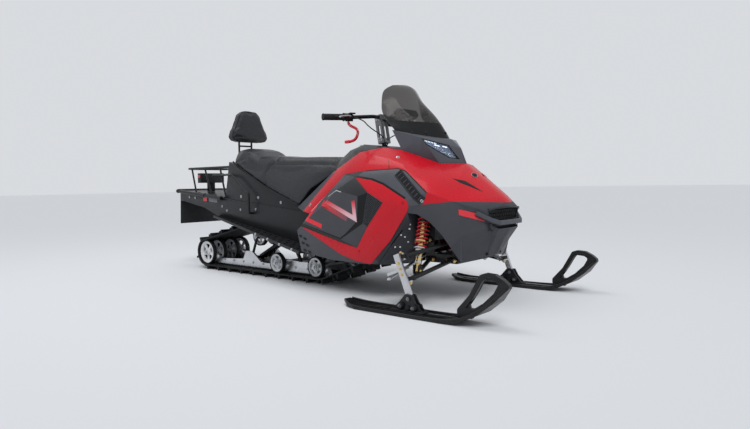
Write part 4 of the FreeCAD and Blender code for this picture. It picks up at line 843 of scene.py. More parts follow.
# The blowing up of a cover: its pressure, its frames, and how far down a resting face looks.
PRESSURE = 4.0
BLOW_FRAMES = 20
RESTING = -0.4


def cushion(node, name, voxel, shrink, cap):
    """A padded cover blown up from a node's solid, a little smaller to start with."""
    piece = own_copy(nodes[node], name)
    enter(piece)
    bpy.ops.mesh.remove_doubles(threshold=MERGE)
    leave()
    low, high = (Vector(corner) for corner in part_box(node))
    middle = (low + high) / 2
    scale = [1 - 2 * shrink / extent for extent in high - low]
    piece.data.transform(Matrix.Translation(middle) @ Matrix.Diagonal((*scale, 1))
                         @ Matrix.Translation(-middle))
    apply(piece, "REMESH", mode="VOXEL", voxel_size=voxel)
    apply(piece, "SMOOTH", factor=0.5, iterations=8)
    start = [vertex.co.copy() for vertex in piece.data.vertices]
    rests = piece.vertex_groups.new(name="rests")
    rests.add([vertex.index for vertex in piece.data.vertices
               if vertex.normal.z < RESTING], 1.0, "REPLACE")
    pick(piece)
    cover = piece.modifiers.new("cover", "CLOTH")
    cover.settings.use_pressure = True
    cover.settings.uniform_pressure_force = PRESSURE
    cover.settings.vertex_group_mass = "rests"
    cover.settings.effector_weights.gravity = 0.0
    for step in range(1, BLOW_FRAMES + 1):
        bpy.context.scene.frame_set(step)
    bpy.ops.object.modifier_apply(modifier=cover.name)
    bpy.context.scene.frame_set(1)
    for vertex, place in zip(piece.data.vertices, start):
        move = vertex.co - place
        if move.length > cap:
            vertex.co = place + move.normalized() * cap
    return piece


def pull_in(piece, points, depth, width):
    """Pulls a cover in along a sewn line."""
    tree = KDTree(len(piece.data.vertices))
    for vertex in piece.data.vertices:
        tree.insert(vertex.co, vertex.index)
    tree.balance()
    near = {}
    for point in along_line(points, 5):
        for place, index, far in tree.find_range(point, width):
            near[index] = min(far, near.get(index, width))
    for index, far in near.items():
        vertex = piece.data.vertices[index]
        vertex.co -= vertex.normal * depth * (1 - far / width) ** 2


def along_line(points, count):
    """Evenly spaced places along straight runs through points."""
    spots = []
    for first, last in zip(points, points[1:]):
        spots += [first.lerp(last, i / count) for i in range(count)]
    return spots + [points[-1]]


NODE_FINISH = {
    "tunnel": "tunnel coat", "running_boards": "tunnel coat", "foot_guards": "grey guard",
    "front_frame": "black tube", "engine_block": "cast engine",
    "belly_pan": "charcoal plastic", "belly_cowl": "charcoal plastic", "hood": "red gloss",
    "headlamp_pod": "pod plastic", "headlamps": "gloss black", "windshield": "smoked glass",
    "vent_bands": "pod plastic", "side_stripes": "red gloss",
    # side_meshes lies behind the side honeycomb: its gloss black is the mesh's own black and is
    # also painted shade behind the honeycomb.
    "side_panels": "charcoal plastic", "side_meshes": "gloss black",
    "lower_walls": "charcoal plastic", "console": "black plastic",
    "knee_panels": "pod plastic", "seat": "seat vinyl", "seat_base": "tunnel coat",
    "backrest_pad": "seat vinyl", "backrest_frame": "black tube", "rack": "black tube",
    "rear_bumper": "black tube", "grab_tubes": "black tube", "tail_lamp": "black plastic",
    "reflectors": "reflector red", "snow_flap": "flap rubber", "tow_hitch": "black tube",
    "track": "rubber", "slide_rails": "silver", "idler_wheels": "wheel grey",
    "drive_axle": "silver", "rear_arms": "black tube", "front_bumper": "pod plastic",
    "front_grille": "black plastic", "suspension_arms": "black tube",
    "shock_bodies": "zinc gold", "springs": "spring red", "spindle_right": "silver",
    "spindle_left": "silver", "ski_right": "ski plastic", "ski_left": "ski plastic",
    "steering_link": "silver", "riser": "riser plate", "handlebar": "black tube",
    "grips": "soft rubber", "controls": "black plastic", "tether_cord": "cord red",
    "tether_clip": "cord red",
}
# Corners of the raised side panel seen from the right side. Columns: x, z.
PANEL = {
    "strip_corner": (400, 668), "strip_foot": (163, 450), "stripe_top": (509, 650),
    "hex_d": (615, 569), "hex_e": (588, 410), "hex_f": (438, 319), "hex_g": (119, 387),
    "raised_a": (303, 493), "raised_b": (412, 582), "raised_c": (570, 549),
    "raised_d": (569, 422), "stripe_k": (447, 298), "stripe_l": (548, 278),
    "stripe_tail": (107, 376), "mesh_low": (620, 392), "vent_rear": (556, 684),
}


def seen(*corners):
    """A loop seen from the side. Columns: x, z in millimetres."""
    return [at(x, 0, z) for x, z in corners]


def facet(*names):
    """A loop of the raised side panel's corners."""
    return seen(*(PANEL[name] for name in names))


class SNOWMOBILE_OT_finishes(bpy.types.Operator):
    """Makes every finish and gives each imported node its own."""

    bl_idname = "snowmobile.finishes"
    bl_label = "Finishes"

    def execute(self, context):
        make_finishes()
        for node, finish in NODE_FINISH.items():
            data = nodes[node].data
            data.materials.clear()
            data.materials.append(FINISHES[finish])
        return {"FINISHED"}


class SNOWMOBILE_OT_bodywork(bpy.types.Operator):
    """Rounds the edges of the panels, covers and blocks, and colours their facets."""

    bl_idname = "snowmobile.bodywork"
    bl_label = "Bodywork"

    def execute(self, context):
        for node in ("hood", "vent_bands", "side_stripes", "foot_guards", "belly_cowl",
                     "headlamp_pod", "lower_walls", "console", "knee_panels", "seat_base",
                     "tunnel", "snow_flap", "front_grille", "tail_lamp", "tether_clip"):
            soften(node, NODE_FINISH[node])
        soften("side_panels", "charcoal plastic", zones=(
            ("gloss black", (facet("hex_g", "hex_f", "stripe_k"),
                             facet("hex_g", "stripe_k", "stripe_tail"),
                             facet("hex_f", "stripe_l", "stripe_k"),
                             facet("hex_d", "hex_e", "raised_c"),
                             facet("hex_e", "raised_d", "raised_c"),
                             facet("hex_e", "hex_f", "raised_d"))),
            ("dark plastic", (facet("stripe_top", "raised_c", "raised_b"),
                              facet("stripe_top", "hex_d", "raised_c"),
                              facet("strip_corner", "vent_rear", "stripe_top"))),
        ))
        for node in ("controls", "riser", "tow_hitch", "spindle_right", "spindle_left"):
            soften(node, NODE_FINISH[node], width=0.0012)
        return {"FINISHED"}


class SNOWMOBILE_OT_graphics(bpy.types.Operator):
    """Lays the coloured lines, the painted highlight lines, wedges and blank badges on the
    panels.
    """

    bl_idname = "snowmobile.graphics"
    bl_label = "Graphics"
    # Columns: name, node it lies on, line's places of x and z, width, finish.
    LINES = (
        # edge_highlight_line and strip_highlight are painted highlights: pale lines along the
        # raised panel's top edge and along the hood's crease.
        ("edge_highlight_line", "side_panels", ((318, 547), (414, 580), (448, 572)), 4, "painted highlight film"),
        ("panel_edge_line", "side_panels", ((303, 493), (570, 423), (571, 549)), 5,
         "gloss black"),
        ("band_foot_line", "vent_bands", ((512, 652), (625, 636), (702, 612), (850, 538)), 11,
         "gloss black"),
        ("band_top_line", "vent_bands", ((560, 683), (764, 690), (812, 675), (957, 567)), 5,
         "gloss black"),
        ("panel_foot_line", "side_panels", ((122, 389), (438, 322), (584, 410)), 9,
         "gloss black"),
        ("hood_seam", "hood", ((681, 736), (710, 683)), 2.5, "gloss black"),
        ("strip_highlight", "hood", ((172, 462), (395, 655)), 3, "painted highlight film"),
        ("wall_seam", "lower_walls", ((817, 380), (674, 197)), 3, "gloss black"),
    )
    # Strokes of the side panel's emblem. Columns: name, places, share of the width, finish.
    STROKES = (
        ("angle_line", ((219, 497), (164, 418), (292, 383)), 1.0, "cord red"),
        ("slanted_bar", ((284, 516), (495, 428)), 1.15, "fading bar"),
        ("vee_line", ((329, 521), (551, 433), (536, 526)), 1.0, "fading film"),
    )
    WEDGE = ((989, 635), (1046, 621), (1136, 563))
    REFLECTOR = ((1088, 483), (1181, 453), (1173, 421), (1091, 455))
    REFLECTOR_WALL = 0.0025
    # Blank round badges on the hood's nose, placed in millimetres.
    BADGE_X = 1058
    BADGE_Y = 50
    BADGE_RADIUS = 0.017

    def execute(self, context):
        stroke = context.scene.snowmobile_sizes.stroke
        panel = SKINS["side_panels"]
        for name, places, share, finish in self.STROKES:
            pair(stroke_film(name, panel, seen(*places), stroke * share), finish)
        for name, node, places, width, finish in self.LINES:
            pair(stroke_film(name, SKINS[node], seen(*places), width / 1000), finish)
        hood = SKINS["hood"]
        pair(film("hood_wedge", hood, seen(*self.WEDGE)), "gloss black")
        pair(film("cowl_reflector", SKINS["belly_cowl"], seen(*self.REFLECTOR),
                  self.REFLECTOR_WALL), "reflector red")
        for side in SIDES:
            place, up = from_above(hood, self.BADGE_X, side * self.BADGE_Y)
            rim = ring(f"badge_rim_{side + 1}", place + up * 0.0012, up, self.BADGE_RADIUS,
                       0.004, 0.002)
            dress(rim, "bright bolt")
            face = bar(f"badge_face_{side + 1}", place, place + up * 0.0022,
                       self.BADGE_RADIUS - 0.0015, 32, 0.0005)
            dress(face, "gloss black")
        return {"FINISHED"}


class SNOWMOBILE_OT_vents(bpy.types.Operator):
    """Fits the louvres in the vent bands over a black film of painted shade, and the honeycombs
    beside the engine, lightened as painted highlight.
    """

    bl_idname = "snowmobile.vents"
    bl_label = "Vents"
    # The first and the last louvre of the right band, seen from the side.
    FIRST = at(783, 0, 657)
    LAST = at(925, 0, 537)
    LOUVRES = 8
    SLAT = at(6, 26, 6)
    SLAT_LEAN = math.radians(32)
    # How far the black film of painted shade in the recess and the recess's frame run past the
    # louvres, and how wide they are.
    RECESS_SHADE_PAST = 0.012
    RECESS_SHADE_WIDTH = 0.03
    FRAME_PAST = 0.016
    FRAME_WIDTH = 0.037
    FRAME_BAR = 0.004
    FRAME_WALL = 0.003
    # Corners of the right side mesh. Columns: x, y, z.
    MESH = ((615, -376, 569), (717, -378, 518), (620, -388, 392), (588, -388, 410))
    MESH_WALL = 0.0018
    MESH_LIFT = 0.0014

    def execute(self, context):
        band = SKINS["vent_bands"]
        run = (self.LAST - self.FIRST).normalized()

        def outline(past, width):
            """The loop round the louvres that runs a little past both ends."""
            return strokes([self.FIRST - run * past, self.LAST + run * past], width)[0]

        spots = []
        for i in range(self.LOUVRES):
            middle = self.FIRST.lerp(self.LAST, i / (self.LOUVRES - 1)) * 1000
            place, up = from_side(band, middle.x, middle.z)
            spots.append((place + up * 0.0005, up, run))
        slat = block("slat", Vector(), self.SLAT, 0.0014)
        slat.data.transform(Matrix.Rotation(self.SLAT_LEAN, 4, "Y"))
        pair(copies("louvres", slat, spots), "charcoal plastic")
        # Painted shade: a black film under the louvres stands for the dark inside the vent's
        # recess.
        recess_shade = film("vent_recess_shade", band, outline(self.RECESS_SHADE_PAST, self.RECESS_SHADE_WIDTH))
        pair(recess_shade, "gloss black")
        rim = outline(self.FRAME_PAST, self.FRAME_WIDTH)
        bars = [film("rim", band, strokes(ends, self.FRAME_BAR)[0], self.FRAME_WALL)
                for ends in zip(rim, rim[1:] + rim[:1])]
        pair(weld("vent_frame", *bars), "dark plastic")
        place, loop = lay_flat([at(*row) for row in self.MESH], -LEFTWARD)
        place.translation += place.col[2].to_3d() * self.MESH_LIFT
        cell = context.scene.snowmobile_sizes.cell
        # The honeycomb's walls are really black. They are drawn in the lighter pod plastic as
        # painted highlight on the walls.
        pair(honeycomb("side_honeycomb", loop, cell, self.MESH_WALL, place), "pod plastic",
             degrees=20)
        return {"FINISHED"}


class SNOWMOBILE_OT_windshield(bpy.types.Operator):
    """Shapes the smoked shield with its dark foot and its screws."""

    bl_idname = "snowmobile.windshield"
    bl_label = "Windshield"
    # Arcs from side to side. Columns: side x, side y, side z, middle x, middle z.
    ARCS = (
        (684, 182, 858, 872, 826), (650, 189, 902, 868, 854), (572, 186, 990, 792, 965),
        (556, 178, 1060, 690, 1066), (558, 160, 1122, 632, 1142), (574, 104, 1156, 597, 1164),
    )
    # 1 gives a sharp ridge down the middle, and 2 gives round arcs.
    RIDGE = 1.55
    FOOT_Z = 0.937
    WALL = 0.003
    # Screws of the foot, as angles from straight ahead.
    SCREW_ANGLES = (-62, -34, 0, 34, 62)
    SCREW_Z = 0.898

    def row(self, share):
        """The shield's arc at a share of the way up, in metres.

        It lies on a smooth line through the table's rows, weighed by the two rows below and
        the two above.
        """
        last = len(self.ARCS) - 1
        index = min(int(share * last), last - 1)
        t = share * last - index
        rows = [self.ARCS[max(0, min(last, index + i))] for i in (-1, 0, 1, 2)]
        return [0.0005 * (2 * q + (r - p) * t + (2 * p - 5 * q + 4 * r - s) * t * t
                          + (3 * q - p - 3 * r + s) * t ** 3) for p, q, r, s in zip(*rows)]

    def execute(self, context):
        deselect()
        bpy.ops.mesh.primitive_grid_add(x_subdivisions=48, y_subdivisions=44, size=2)
        shell = added("windshield_shell")
        for vertex in shell.data.vertices:
            side_x, side_y, side_z, middle_x, middle_z = self.row((vertex.co.y + 1) / 2)
            chord = Vector((side_x, 0, side_z))
            bulge = Vector((middle_x, 0, middle_z)) - chord
            across = vertex.co.x
            vertex.co = (chord + bulge * (1 - abs(across) ** self.RIDGE)
                         + LEFTWARD * side_y * across)
        enter(shell)
        face_out()
        middle_face = max(shell.data.polygons, key=lambda face: face.center.x)
        if middle_face.normal.x < 0:
            shell.data.flip_normals()
        foot = own_copy(shell, "windshield_foot")
        tilt = Vector((0.1, 0, 1)).normalized()
        for piece, keep in ((shell, 1), (foot, -1)):
            enter(piece)
            bpy.ops.mesh.bisect(plane_co=(0.8, 0, self.FOOT_Z), plane_no=tilt,
                                clear_inner=keep > 0, clear_outer=keep < 0)
            leave()
        apply(shell, "SOLIDIFY", thickness=self.WALL, offset=-1.0)
        apply(foot, "SOLIDIFY", thickness=self.WALL * 1.2, offset=-0.8)
        dress(shell, "smoked glass", degrees=50)
        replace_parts(shell, "windshield")
        dress(foot, "gloss black", degrees=50)
        spots = []
        for angle in map(math.radians, self.SCREW_ANGLES):
            start = Vector((2.0 * math.cos(angle) + 0.6, 2.0 * math.sin(angle), self.SCREW_Z))
            place, up = touch(foot, start, Vector((0.66, 0, self.SCREW_Z - 0.02)) - start)
            spots.append((place, up, UPWARD))
        dress(copies("windshield_screws", screw_head(0.0055), spots), "black plastic")
        return {"FINISHED"}


class SNOWMOBILE_OT_headlamps(bpy.types.Operator):
    """Builds each headlamp as a tub with bowls, light strips and a clear lens."""

    bl_idname = "snowmobile.headlamps"
    bl_label = "Headlamps"
    # Lens outline on the pod's cheek. Columns: x, y, z.
    OUTLINE = (
        (813, -167, 846), (905.7, -53.9, 810.9), (946.8, -13.8, 733.1), (909.2, -60.5, 743.5),
        (882.3, -91.2, 767.4), (832.7, -147.8, 810.6),
    )
    # A point outside the machine that the lens faces.
    FACES = at(786, -611, 101)
    DEPTH = 0.024
    RIM = 0.0045
    FLOOR = 0.003
    # The lens and the shelf under the bowls: share of the outline, wall, depth of the back.
    LENS = (0.93, 0.0022, 0.0032)
    SHELF = (0.9, 0.0015, 0.012)
    # Bowls. Columns: along, down, radius.
    BOWLS = ((86, 27, 12), (127, 32, 14.5), (172, 50, 10.5))
    # Light strips above the bowls. Columns: middle along, down, length.
    STRIPS = ((90, 17, 30), (133, 14, 26))
    # Short light ribs along the top edge.
    RIBS = 9
    RIB_START = 14
    RIB_STEP = 8.5

    def execute(self, context):
        corners = [at(*row) for row in self.OUTLINE]
        place, loop = lay_flat(corners, self.FACES)
        flip = -1 if loop[2].y < 0 else 1

        def on_lens(along, down, out):
            """A place from the lens's top rear corner, in millimetres."""
            return place @ at(along, down * flip, out)

        def turned(along, down, out):
            """A direction given in the lens's own plane."""
            return (place.to_3x3() @ Vector((along, down * flip, out))).normalized()

        out = turned(0, 0, 1)
        tub = slab("lamp_tub", loop, self.DEPTH)
        choose(tub, lambda middle, normal: normal.z > 0.9)
        bpy.ops.mesh.inset(thickness=self.RIM)
        bpy.ops.mesh.extrude_region_move(
            TRANSFORM_OT_translate={"value": (0, 0, self.FLOOR - self.DEPTH)})
        leave()
        bevel(tub, 0.0008)
        tub.data.transform(place @ Matrix.Translation((0, 0, -self.DEPTH)))
        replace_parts(pair(tub, "gloss black", slot="lamp")[0], "headlamps")
        middle = sum(loop, Vector()) / len(loop)

        def inner_plate(name, share, wall, depth, round_by):
            """A plate of a share of the lens's outline, that lies some way in."""
            return slab(name, [middle + (corner - middle) * share for corner in loop], wall,
                        place @ Matrix.Translation((0, 0, -depth)), round_by)

        pair(inner_plate("lamp_lens", *self.LENS, 0.0006), "lamp lens", slot="lamp")
        pair(inner_plate("lamp_shelf", *self.SHELF, 0.0004), "lamp shelf")
        bowls = []
        beads = []
        for along, down, radius in self.BOWLS:
            deselect()
            bpy.ops.mesh.primitive_uv_sphere_add(segments=28, ring_count=16,
                                                 radius=radius / 1000)
            bowl = context.object
            prune(bowl, lambda middle, normal: middle.z > 0.0008)
            apply(bowl, "SOLIDIFY", thickness=0.0008, offset=1.0)
            bowl.matrix_world = facing(on_lens(along, down, -7), out, turned(1, 0, 0))
            settle(bowl)
            bowls.append(bowl)
            beads.append(ring("bowl_rim", on_lens(along, down, -6.5), out,
                              (radius + 1.4) / 1000, 0.002, 0.0016))
            beads.append(bar("bulb", on_lens(along, down, -16), on_lens(along, down, -10),
                             radius / 3000, 16, 0.0008, radius / 4200))
        pair(weld("lamp_bowls", *bowls), "chrome bowl")
        pair(weld("lamp_rims", *beads), "bright bolt")
        strips = [block("strip", on_lens(along, down, -5.5), at(length, 4, 2.5), 0.0008,
                        up=out, along=turned(1, 0.02, 0))
                  for along, down, length in self.STRIPS]
        strips += [block("rib", on_lens(self.RIB_START + i * self.RIB_STEP, 6 + i * 0.35, -5.5),
                         at(2.4, 7, 2.5), 0.0006, up=out, along=turned(1, -0.55, 0))
                   for i in range(self.RIBS)]
        pair(weld("light_strips", *strips), "light strip")
        return {"FINISHED"}


class SNOWMOBILE_OT_nose(bpy.types.Operator):
    """Fits the grille's honeycomb, its lip and the flat bumper bar."""

    bl_idname = "snowmobile.nose"
    bl_label = "Nose"
    # Corners of the grille's mesh seen from the front. Columns: y, z.
    MESH = ((-152, 484), (152, 484), (150, 376), (-150, 376))
    MESH_X = 1.1945
    MESH_CELL = 0.0115
    MESH_WALL = 0.0042
    # Right halves of the bumper bar and of the lip above the grille. Columns: x, y, z.
    BUMPER = ((1156, -198, 462), (1206, -146, 428), (1233, -112, 414))
    BUMPER_SIZE = (0.016, 0.024)
    LIP = ((1196, -158, 474), (1214, -118, 484))
    LIP_MIDDLE = (1222, 0, 488)
    LIP_SIZE = (0.014, 0.007)
    POSTS_Y = (-88, -30, 30, 88)
    # Where the line that finds a chin screw's seat starts and what it aims at.
    CHIN_START = (1338, 68, 100)
    CHIN_AIM = (1138, 68, 251)

    def across(self, rows, middle=()):
        """Places from the right to the left, as the right half and its mirror image."""
        left = [(x, -y, z) for x, y, z in reversed(rows)]
        return [at(*row) for row in (*rows, *middle, *left)]

    def execute(self, context):
        # X of the honeycomb runs along Y of the machine and its Y runs up.
        place = Matrix(((0, 0, 1, self.MESH_X), (1, 0, 0, 0), (0, 1, 0, 0), (0, 0, 0, 1)))
        mesh = honeycomb("nose_honeycomb", [at(y, z, 0) for y, z in self.MESH],
                         self.MESH_CELL, self.MESH_WALL, place)
        dress(mesh, "dark plastic", degrees=20)
        bumper = strap("bumper_bar", self.across(self.BUMPER), self.BUMPER_SIZE)
        dress(bumper, "pod plastic")
        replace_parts(bumper, "front_bumper")
        posts = [block("post", at(1213, y, 416), at(34, 12, 16), 0.002) for y in self.POSTS_Y]
        dress(weld("bumper_posts", *posts), "black plastic")
        lip = strap("grille_lip", self.across(self.LIP, (self.LIP_MIDDLE,)), self.LIP_SIZE)
        dress(lip, "dark plastic")
        spots = []
        for side in SIDES:
            turn = Vector((1, side, 1))
            start = at(*self.CHIN_START) * turn
            spot, up = touch(SKINS["belly_cowl"], start, at(*self.CHIN_AIM) * turn - start)
            spots.append((spot, up, LEFTWARD))
        dress(copies("chin_screws", screw_head(0.007), spots), "black plastic")
        return {"FINISHED"}


class SNOWMOBILE_OT_fasteners(bpy.types.Operator):
    """Sets the screws and rivets of the body panels and the tunnel."""

    bl_idname = "snowmobile.fasteners"
    bl_label = "Fasteners"
    # Columns: node, head radius as a share of the body screw, finish, places of x and z.
    SCREWS = (
        ("hood", 1.0, "bright bolt", ((709, 751), (140, 497))),
        ("seat_base", 1.0, "bright bolt", ((-502, 533), (-276, 503), (-686, 540))),
        ("tunnel", 0.9, "bright bolt", ((-695, 450), (-530, 455), (-1316, 535), (-1240, 530),
                                        (-905, 470), (-850, 440))),
        ("lower_walls", 0.5, "white plastic", (
            (804, 353), (813, 342), (815, 315), (765, 290), (781, 289), (847, 406), (841, 384))),
        ("vent_bands", 0.9, "bright bolt", ((936, 526),)),
        ("side_stripes", 0.8, "red gloss", ((840, 520), (560, 262))),
    )
    # The tunnel's row of rivets runs forward and down from here, in millimetres.
    RIVETS = 26
    RIVET_START = (-1400, 573.12)
    RIVET_STEP = 60
    RIVET_FALL = 0.097

    def execute(self, context):
        radius = context.scene.snowmobile_sizes.screw
        for node, share, finish, places in self.SCREWS:
            dress(copies(node + "_screws", screw_head(radius * share),
                         both_sides(SKINS[node], places)), finish)
        x, z = self.RIVET_START
        steps = [i * self.RIVET_STEP for i in range(self.RIVETS)]
        rivets = [(x + step, z - step * self.RIVET_FALL) for step in steps]
        head = bar("rivet", (0, 0, 0), (0, 0, 0.0022), 0.0042, 12, 0.0012, 0.003)
        dress(copies("tunnel_rivets", head, both_sides(SKINS["tunnel"], rivets)), "black tube")
        return {"FINISHED"}


class SNOWMOBILE_OT_seat(bpy.types.Operator):
    """Pads the seat and sews its seams."""

    bl_idname = "snowmobile.seat"
    bl_label = "Seat"
    # Sewn seams of the right side. Columns: x, z.
    SEAMS = (((-372, 765), (-420, 742), (-452, 700), (-448, 660), (-430, 625)),
             ((-360, 752), (-217, 748), (6, 742), (150, 735)))
    # The seam across the top: its middle's x, how far forward its ends lie, and its half width.
    ARC_X = -390
    ARC_RISE = 18
    ARC_HALF = 140
    SEAM_DEPTH = 0.007
    SEAM_WIDTH = 0.03
    # Hem of the cover on the left side. Columns: x, y, z.
    HEM = ((-806, 168, 784), (-720, 187, 744), (-560, 200, 671), (-430, 207, 611),
           (-250, 226, 550), (-80, 237, 491))

    def execute(self, context):
        seat = cushion("seat", "seat_cover", 0.008, 0.005, 0.012)
        sides = [[from_side(seat, x, z, side)[0] for x, z in line]
                 for line in self.SEAMS for side in SIDES]
        across = [from_above(seat, self.ARC_X + self.ARC_RISE * (y / self.ARC_HALF) ** 2, y)[0]
                  for y in range(-self.ARC_HALF, self.ARC_HALF + 1, 28)]
        lines = [along_line(line, 10) for line in sides] + [along_line(across, 4)]
        for line in lines:
            pull_in(seat, line, self.SEAM_DEPTH, self.SEAM_WIDTH)
        TREES.clear()
        apply(seat, "SUBSURF", levels=1, render_levels=1)
        dress(seat, "seat vinyl", degrees=60)
        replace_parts(seat, "seat")
        cords = [pipe("seat_seam", [self.onto(seat, place) for place in line], 0.0016, 4, 2)
                 for line in lines]
        dress(weld("seat_seams", *cords), "stitching", degrees=60)
        hems = [pipe("hem", [at(x, side * y, z) for x, y, z in self.HEM], 0.004, 8, 2)
                for side in SIDES]
        dress(weld("seat_hem", *hems), "soft rubber", degrees=60)
        return {"FINISHED"}

    def onto(self, seat, place):
        """The place on the finished cover that is nearest to a seam's place."""
        outward = (place - Vector((place.x, 0, 0.6))).normalized()
        found, spot, normal, index = seat.closest_point_on_mesh(place + outward * 0.0005)
        return spot + normal * 0.0004


class SNOWMOBILE_OT_backrest(bpy.types.Operator):
    """Pads the backrest, with its piping and its shell behind."""

    bl_idname = "snowmobile.backrest"
    bl_label = "Backrest"
    # Half outline seen from the rear. Columns: y, z.
    OUTLINE = ((0, 922), (95, 922), (142, 932), (160, 958), (152, 1000), (124, 1064), (92, 1130),
               (56, 1158), (0, 1158))
    MIDDLE = at(-846, 0, 1035)
    # The piping's two rims, and how far out the lines that find them start.
    PIPING_X = (-0.826, -0.868)
    PIPING_OUT = 1.4
    SHELL_X = -0.886
    SHELL_SHARE = 0.78
    SHELL_WALL = 0.006
    POST_Y = 55
    CLAMPS_Z = (948, 1062)

    def execute(self, context):
        pad = cushion("backrest_pad", "backrest_cover", 0.005, 0.004, 0.011)
        middle = self.MIDDLE
        loop = [at(0, y, z) for y, z in self.OUTLINE]
        loop += [Vector((0, -spot.y, spot.z)) for spot in reversed(loop[1:-1])]
        loop = along_line(loop + loop[:1], 4)
        rims = []
        for x in self.PIPING_X:
            centre = Vector((x, 0, middle.z))
            spots = []
            for spot in loop:
                start = centre + Vector((0, spot.y, spot.z - middle.z)) * self.PIPING_OUT
                spots.append(touch(pad, start, centre - start)[0])
            rims.append(spots)
            pull_in(pad, spots, 0.003, 0.009)
        apply(pad, "SUBSURF", levels=1, render_levels=1)
        dress(pad, "seat vinyl", degrees=60)
        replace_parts(pad, "backrest_pad")
        piping = [pipe("piping", spots, 0.0022, 4, 2) for spots in rims]
        dress(weld("backrest_piping", *piping), "soft rubber", degrees=60)
        corners = [Vector((spot.y, spot.z - middle.z, 0)) * self.SHELL_SHARE
                   for spot in loop[:-1:4]]
        shell = slab("backrest_shell", corners, self.SHELL_WALL)
        bevel(shell, 0.002)
        shell.data.transform(Matrix(((0, 0, 1, self.SHELL_X), (1, 0, 0, 0),
                                     (0, 1, 0, middle.z), (0, 0, 0, 1))))
        dress(shell, "black plastic")
        clamps = [block("clamp", at(-884, side * self.POST_Y, z), at(19, 24, 22), 0.003)
                  for side in SIDES for z in self.CLAMPS_Z]
        dress(weld("backrest_clamps", *clamps), "black plastic")
        feet = [ring("foot_collar", at(-883.3, side * self.POST_Y, 790), UPWARD, 0.0105, 0.018,
                     0.0035) for side in SIDES]
        dress(weld("post_collars", *feet), "soft rubber")
        return {"FINISHED"}


class SNOWMOBILE_OT_rear(bpy.types.Operator):
    """Fits the tail lamp's lenses, and small parts of the walls, rack, bumper and flap."""

    bl_idname = "snowmobile.rear"
    bl_label = "Rear"
    LENS = at(-1346.5, 0, 677)
    LENS_SIZE = at(5, 196, 58)
    LENS_RIB_STEP = 12
    # Films on the right wall of the tunnel. Columns: x, z.
    PATCH = ((-1062, 534), (-962, 524), (-962, 494), (-1062, 504))
    TRAY = ((-1136, 544), (-1082, 544), (-1082, 500), (-1136, 500))
    # The rack's feet. Columns: x, z.
    FEET = ((-1249, 569), (-1053, 550), (-880, 533))
    FOOT_Y = 176
    # Lie of the rear bumper's side tubes and its clamps, in millimetres.
    TUBE_Y = 213.3
    TUBE_START = (-1476, 584)
    TUBE_FALL = 0.097
    CLAMPS_X = (-1440, -1100)
    FLAP_BOLTS_Y = (-150, -90, 90, 150)

    def execute(self, context):
        lens = block("tail_lens", self.LENS, self.LENS_SIZE, 0.002)
        dress(lens, "tail lens")
        ribs = [block("rib", self.LENS + at(1, y, 0), at(3, 1.6, 54), 0.0005)
                for y in range(-90, 91, self.LENS_RIB_STEP)]
        dress(weld("tail_ribs", *ribs), "reflector red")
        ends = [block("end_lens", at(-1326, side * 105.5, 690), at(26, 3, 20), 0.001)
                for side in SIDES]
        dress(weld("tail_end_lenses", *ends), "reflector red")
        wall = SKINS["tunnel"]
        pair(film("blank_patch", wall, seen(*self.PATCH), 0.001), "bare plate")
        pair(film("reflector_tray", wall, seen(*self.TRAY), 0.0012), "black plastic")
        feet = [block("rack_foot", at(x, side * self.FOOT_Y, z), at(44, 30, 6), 0.0015,
                      up=at(97, 0, 1000)) for x, z in self.FEET for side in SIDES]
        dress(weld("rack_feet", *feet), "black tube")
        caps = []
        start_x, start_z = self.TUBE_START
        for side in SIDES:
            y = side * self.TUBE_Y
            caps.append(bar("cap", at(-902, y, 528.5), at(-893, y, 527.5), 0.0145, 20, 0.002))
            caps += [ring("clamp", at(x, y, start_z - (x - start_x) * self.TUBE_FALL), FORWARD,
                          0.0152, 0.024, 0.003) for x in self.CLAMPS_X]
        dress(weld("bumper_fittings", *caps), "black plastic")
        bolts = [(at(-1418, 0, 576), UPWARD, FORWARD)]
        for y in self.FLAP_BOLTS_Y:
            place, up = touch(SKINS["snow_flap"], at(-1700, y, 520), FORWARD)
            bolts.append((place, up, UPWARD))
        dress(copies("flap_bolts", hex_bolt(0.008), bolts), "riser plate")
        return {"FINISHED"}


